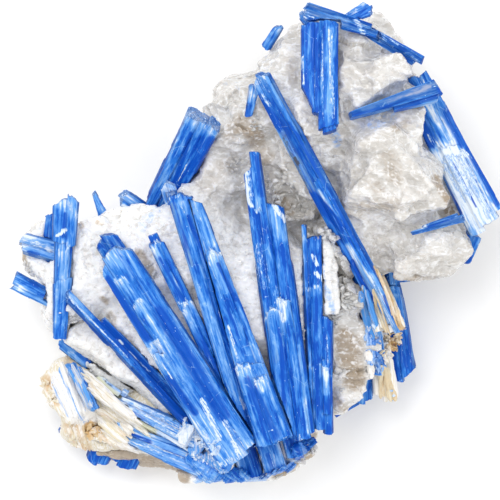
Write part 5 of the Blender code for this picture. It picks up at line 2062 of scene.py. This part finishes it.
@dataclass
class QuartzMass(ClusterPart):
    """The quartz that everything grows in."""

    matrix_cell: float = 0.9
    bar_cell: float = 0.8
    foot_cell: float = 0.7

    def pieces(self) -> tuple[Piece, ...]:
        """The big mass, the bar, the crumbs of the foot and the loose grains."""
        quartz = self.finishes.quartz
        bar = RockPiece(
            "quartz_bar", quartz, "quartz", cell=self.bar_cell, swell=0.25, sugar=((4.5, 0.8), (1.2, 0.35)),
            faces=((7.0, 0.6),), glassy=0.25, grain_of="quartz_bar",
            # painted shade along the bar's lower edge
            marks=(SMOKE((-39.3, -29.5), (-37.8, -30.5), 1.5, 0.3),),
        )
        foot = RockPiece(
            "fan_foot_crumbs", self.finishes.altered, "pale_kyanite", cell=self.foot_cell, swell=0.2,
            sugar=((2.6, 1.2), (1.0, 0.5)), glassy=0.0,
            marks=(
                DEEP((-17.1, -50.6), (-8.1, -57.9), 4.0, 0.75),
                PALE((-17.1, -46.9), (-8.5, -56.6), 5.0, 0.6),
            ),
        )
        loose = Crumbs("quartz_grains", quartz, "quartz", seed=31, runs=(
            Run((-1.0, 34.8), (1.0, 28.5), 1.0, 26, 0.9), Run((-6.5, 21.2), (-3.5, 19.2), 1.5, 12, 0.8),
            Run((3.5, 16.7), (12.8, 7.5), 3.0, 46, 1.2), Run((11.6, 8.3), (22.5, 1.2), 2.4, 60, 1.4),
            Run((18.9, -11.2), (20.5, -21.3), 0.8, 26, 1.1),
            Run((-26.9, -5.7), (-25.2, -8.7), 1.2, 20, 1.2), Run((24.1, 3.2), (26.7, -4.2), 1.0, 20, 1.3),
            Run((20.3, -37.7), (22.7, -31.2), 1.5, 20, 1.4), Run((4.1, -59.4), (15.5, -50.3), 1.6, 46, 1.3),
            Run((-58.2, -4.3), (-56.5, -7.8), 0.8, 18, 1.2),
            Run((-48.7, -19.6), (-43.5, -17.5), 1.0, 18, 1.5),
            Run((21.6, -1.3), (24.7, -16.2), 2.4, 60, 1.7),
        ))
        return self.matrix(), bar, foot, loose

    def matrix(self) -> RockPiece:
        """The big mass: sugary on the fan's side, glassy in the upper lobe."""
        return RockPiece(
            "quartz_matrix", self.finishes.quartz, "quartz", cell=self.matrix_cell, swell=0.35,
            sugar=((2.6, 0.9), (1.2, 0.5)), faces=((10.0, 1.0), (5.0, 0.9), (2.4, 0.8)),
            marks=(
                # The smoke marks are smoky quartz in places and painted shade in others: in gaps, hollows
                # and along edges.
                SMOKE((-7.0, 28.0), (-3.5, 30.5), 3.5, 0.8), SMOKE((-12.0, 15.7), (-6.5, 20.2), 3.4, 0.6),
                SMOKE((-1.5, 30.0), (2.5, 22.2), 3.4, 1.1), SMOKE((5.5, 11.7), (9.0, 8.8), 2.0, 1.3),
                SMOKE((4.0, 20.0), (11.6, 10.0), 2.5, 0.4), SMOKE((22.8, -23.3), (25.1, -33.9), 3.6, 1.35),
                SMOKE((24.4, -6.7), (27.6, -21.3), 1.6, 0.6), SMOKE((26.0, -23.3), (27.2, -34.9), 1.6, 0.9),
                SMOKE((22.4, 8.1), (35.3, 9.8), 2.6, 0.6), SMOKE((34.3, 28.6), (37.9, 30.3), 1.6, 0.9),
                SMOKE((21.8, 47.3), (23.5, 41.9), 3.0, 0.4), SMOKE((8.9, 45.2), (10.3, 41.1), 2.6, 0.5),
                SMOKE((32.8, 21.3), (34.8, 16.9), 3.0, 0.7), SMOKE((26.5, 18.9), (30.4, 13.9), 2.6, 0.45),
                SMOKE((-28.4, -2.7), (-26.2, -6.7), 2.2, 1.1),
                SMOKE((-37.8, -13.5), (-37.1, -14.0), 1.2, 0.9),
                SMOKE((-36.1, -17.8), (-35.3, -18.8), 1.5, 0.9),
                SMOKE((-31.5, -23.3), (-29.0, -28.3), 1.5, 0.8),
                # the second mark is a painted shadow in the gap behind the broad side blade
                SMOKE((-58.8, -3.3), (-57.9, -5.3), 1.6, 1.1), SMOKE((44.8, 16.0), (49.9, 7.6), 1.6, 1.6),
                # painted shade along the bottom edge
                SMOKE((-33.5, -56.3), (-18.7, -58.9), 3.0, 1.7),
                SMOKE((6.6, -57.7), (16.0, -49.8), 3.0, 1.4),
                # painted shade along the bottom edge
                SMOKE((-38.3, -52.9), (-24.0, -56.0), 2.6, 1.7),
                BLUE((-13.6, -59.4), (2.0, -59.3), 2.0, 1.4), BLUE((-4.6, -56.5), (11.7, -54.0), 2.0),
                SMOKE((36.0, -9.9), (45.0, -8.8), 2.2), SMOKE((19.4, -38.6), (24.0, -41.8), 1.6),
                SMOKE((0.5, 2.2), (3.0, -21.1), 0.9, 0.6), IRON((-44.0, 5.8), (-43.2, 4.8), 1.2),
                IRON((-39.3, 5.8), (-38.3, 5.3), 1.0, 0.9), IRON((-35.2, 6.3), (-33.3, 4.5), 0.5, 0.55),
                IRON((7.5, -57.8), (16.0, -50.8), 1.8, 1.2), BLUE((-28.0, 4.7), (-23.5, 9.3), 2.2, 0.55),
                BLUE((19.7, 28.0), (20.7, 24.9), 1.5, 0.9), BLUE((29.5, 29.2), (34.4, 32.7), 2.2, 0.55),
                BLUE((-5.5, 42.5), (2.0, 45.8), 4.5, 0.25), BLUE((29.2, -9.2), (32.6, -8.8), 1.6, 0.6),
            ),
        )


@dataclass
class Studio:
    """The plain floor, the soft lights and the camera that looks straight down."""

    eye: Triple = (-1.0, -1.25, 725.0)
    lens: float = 201.6
    floor_size: float = 2400.0
    world_strength: float = 0.82
    clip: Pair = (0.01, 10.0)  # the nearest and the furthest that the camera sees, in metres

    def build(self) -> None:
        """Makes the floor, the lights, the world and the camera."""
        self.make_floor()
        self.make_world()
        self.make_lamp("key_light", (-240.0, 260.0, 680.0), 420.0, 2.3)
        self.make_lamp("fill_light", (400.0, -160.0, 640.0), 600.0, 1.3)
        camera = bpy.data.cameras.new("camera")
        camera.lens = self.lens
        camera.clip_start, camera.clip_end = self.clip
        holder = placed(bpy.data.objects.new("camera", camera))
        holder.location = Vector(self.eye) * MM
        bpy.context.scene.camera = holder

    def make_floor(self) -> None:
        """The pale floor, at height zero."""
        bm = bmesh.new()
        bmesh.ops.create_grid(bm, x_segments=1, y_segments=1, size=0.5 * self.floor_size * MM)
        mesh = bpy.data.meshes.new("floor")
        bm.to_mesh(mesh)
        bm.free()
        finish = FloorFinish("pale_floor", (0.96, 0.96, 0.96))
        new_object("floor", mesh, finish.material())

    def make_world(self) -> None:
        """Even white light from all round."""
        world = bpy.data.worlds.new("studio")
        world.use_nodes = True
        background = world.node_tree.nodes["Background"]
        background.inputs["Color"].default_value = (1.0, 1.0, 1.0, 1.0)
        background.inputs["Strength"].default_value = self.world_strength
        bpy.context.scene.world = world
        bpy.context.scene.view_settings.view_transform = "Standard"

    def make_lamp(self, name: str, place: Triple, size: float, power: float) -> None:
        """A square soft lamp that faces the specimen.

        Args:
            name: The lamp's name.
            place: Where it hangs, in millimetres.
            size: The length of its side, in millimetres.
            power: Its power in watts.
        """
        lamp = bpy.data.lights.new(name, "AREA")
        lamp.size = size * MM
        lamp.energy = power
        holder = placed(bpy.data.objects.new(name, lamp))
        holder.location = Vector(place) * MM
        holder.rotation_mode = "QUATERNION"
        holder.rotation_quaternion = (-holder.location).to_track_quat("-Z", "Y")


# ---------------- the finishes


# The side colours of both kyanite finishes are painted shade for steep faces.
BLUE_KYANITE = KyaniteFinish(
    "blue_kyanite", deep=(0.002, 0.080, 0.50), middle=(0.024, 0.19, 0.67), pale=(0.17, 0.41, 0.84),
    side_shade=(0.003, 0.050, 0.28), worn=(0.80, 0.88, 0.97), tint=(0.22, 0.33, 0.42), rust=(0.66, 0.47, 0.24),
    roughness=0.36,
)
PALE_KYANITE = KyaniteFinish(
    "pale_blue_kyanite", deep=(0.07, 0.24, 0.68), middle=(0.30, 0.50, 0.85), pale=(0.62, 0.74, 0.90),
    side_shade=(0.14, 0.28, 0.56), worn=(0.90, 0.93, 0.96), tint=(0.66, 0.66, 0.48), rust=(0.66, 0.50, 0.30),
    roughness=0.45,
)
QUARTZ = QuartzFinish(
    "milky_quartz", milk=(0.86, 0.85, 0.835), glass=(0.57, 0.545, 0.51), smoke_and_shade=(0.35, 0.27, 0.185),
    iron=(0.48, 0.34, 0.19), blue=(0.25, 0.46, 0.84), roughness=0.12,
)
ALTERED = WeatheredFinish(
    "altered_kyanite", cream=(0.78, 0.70, 0.52), white=(0.92, 0.90, 0.87), rust=(0.66, 0.43, 0.19),
    blue=(0.08, 0.33, 0.80),
)


def main() -> None:
    """Builds the cluster, then its studio."""
    logging.basicConfig(level=logging.INFO, format="%(message)s")
    finishes = Finishes(*(finish.material() for finish in (BLUE_KYANITE, PALE_KYANITE, QUARTZ, ALTERED)))
    for part in (QuartzMass, Fan, UpperLobe, LeftCorner, Bundle, WeatheredCorner):
        part(finishes).build()
    Studio().build()
    LIMITS.write()


if __name__ == "__main__":
    main()
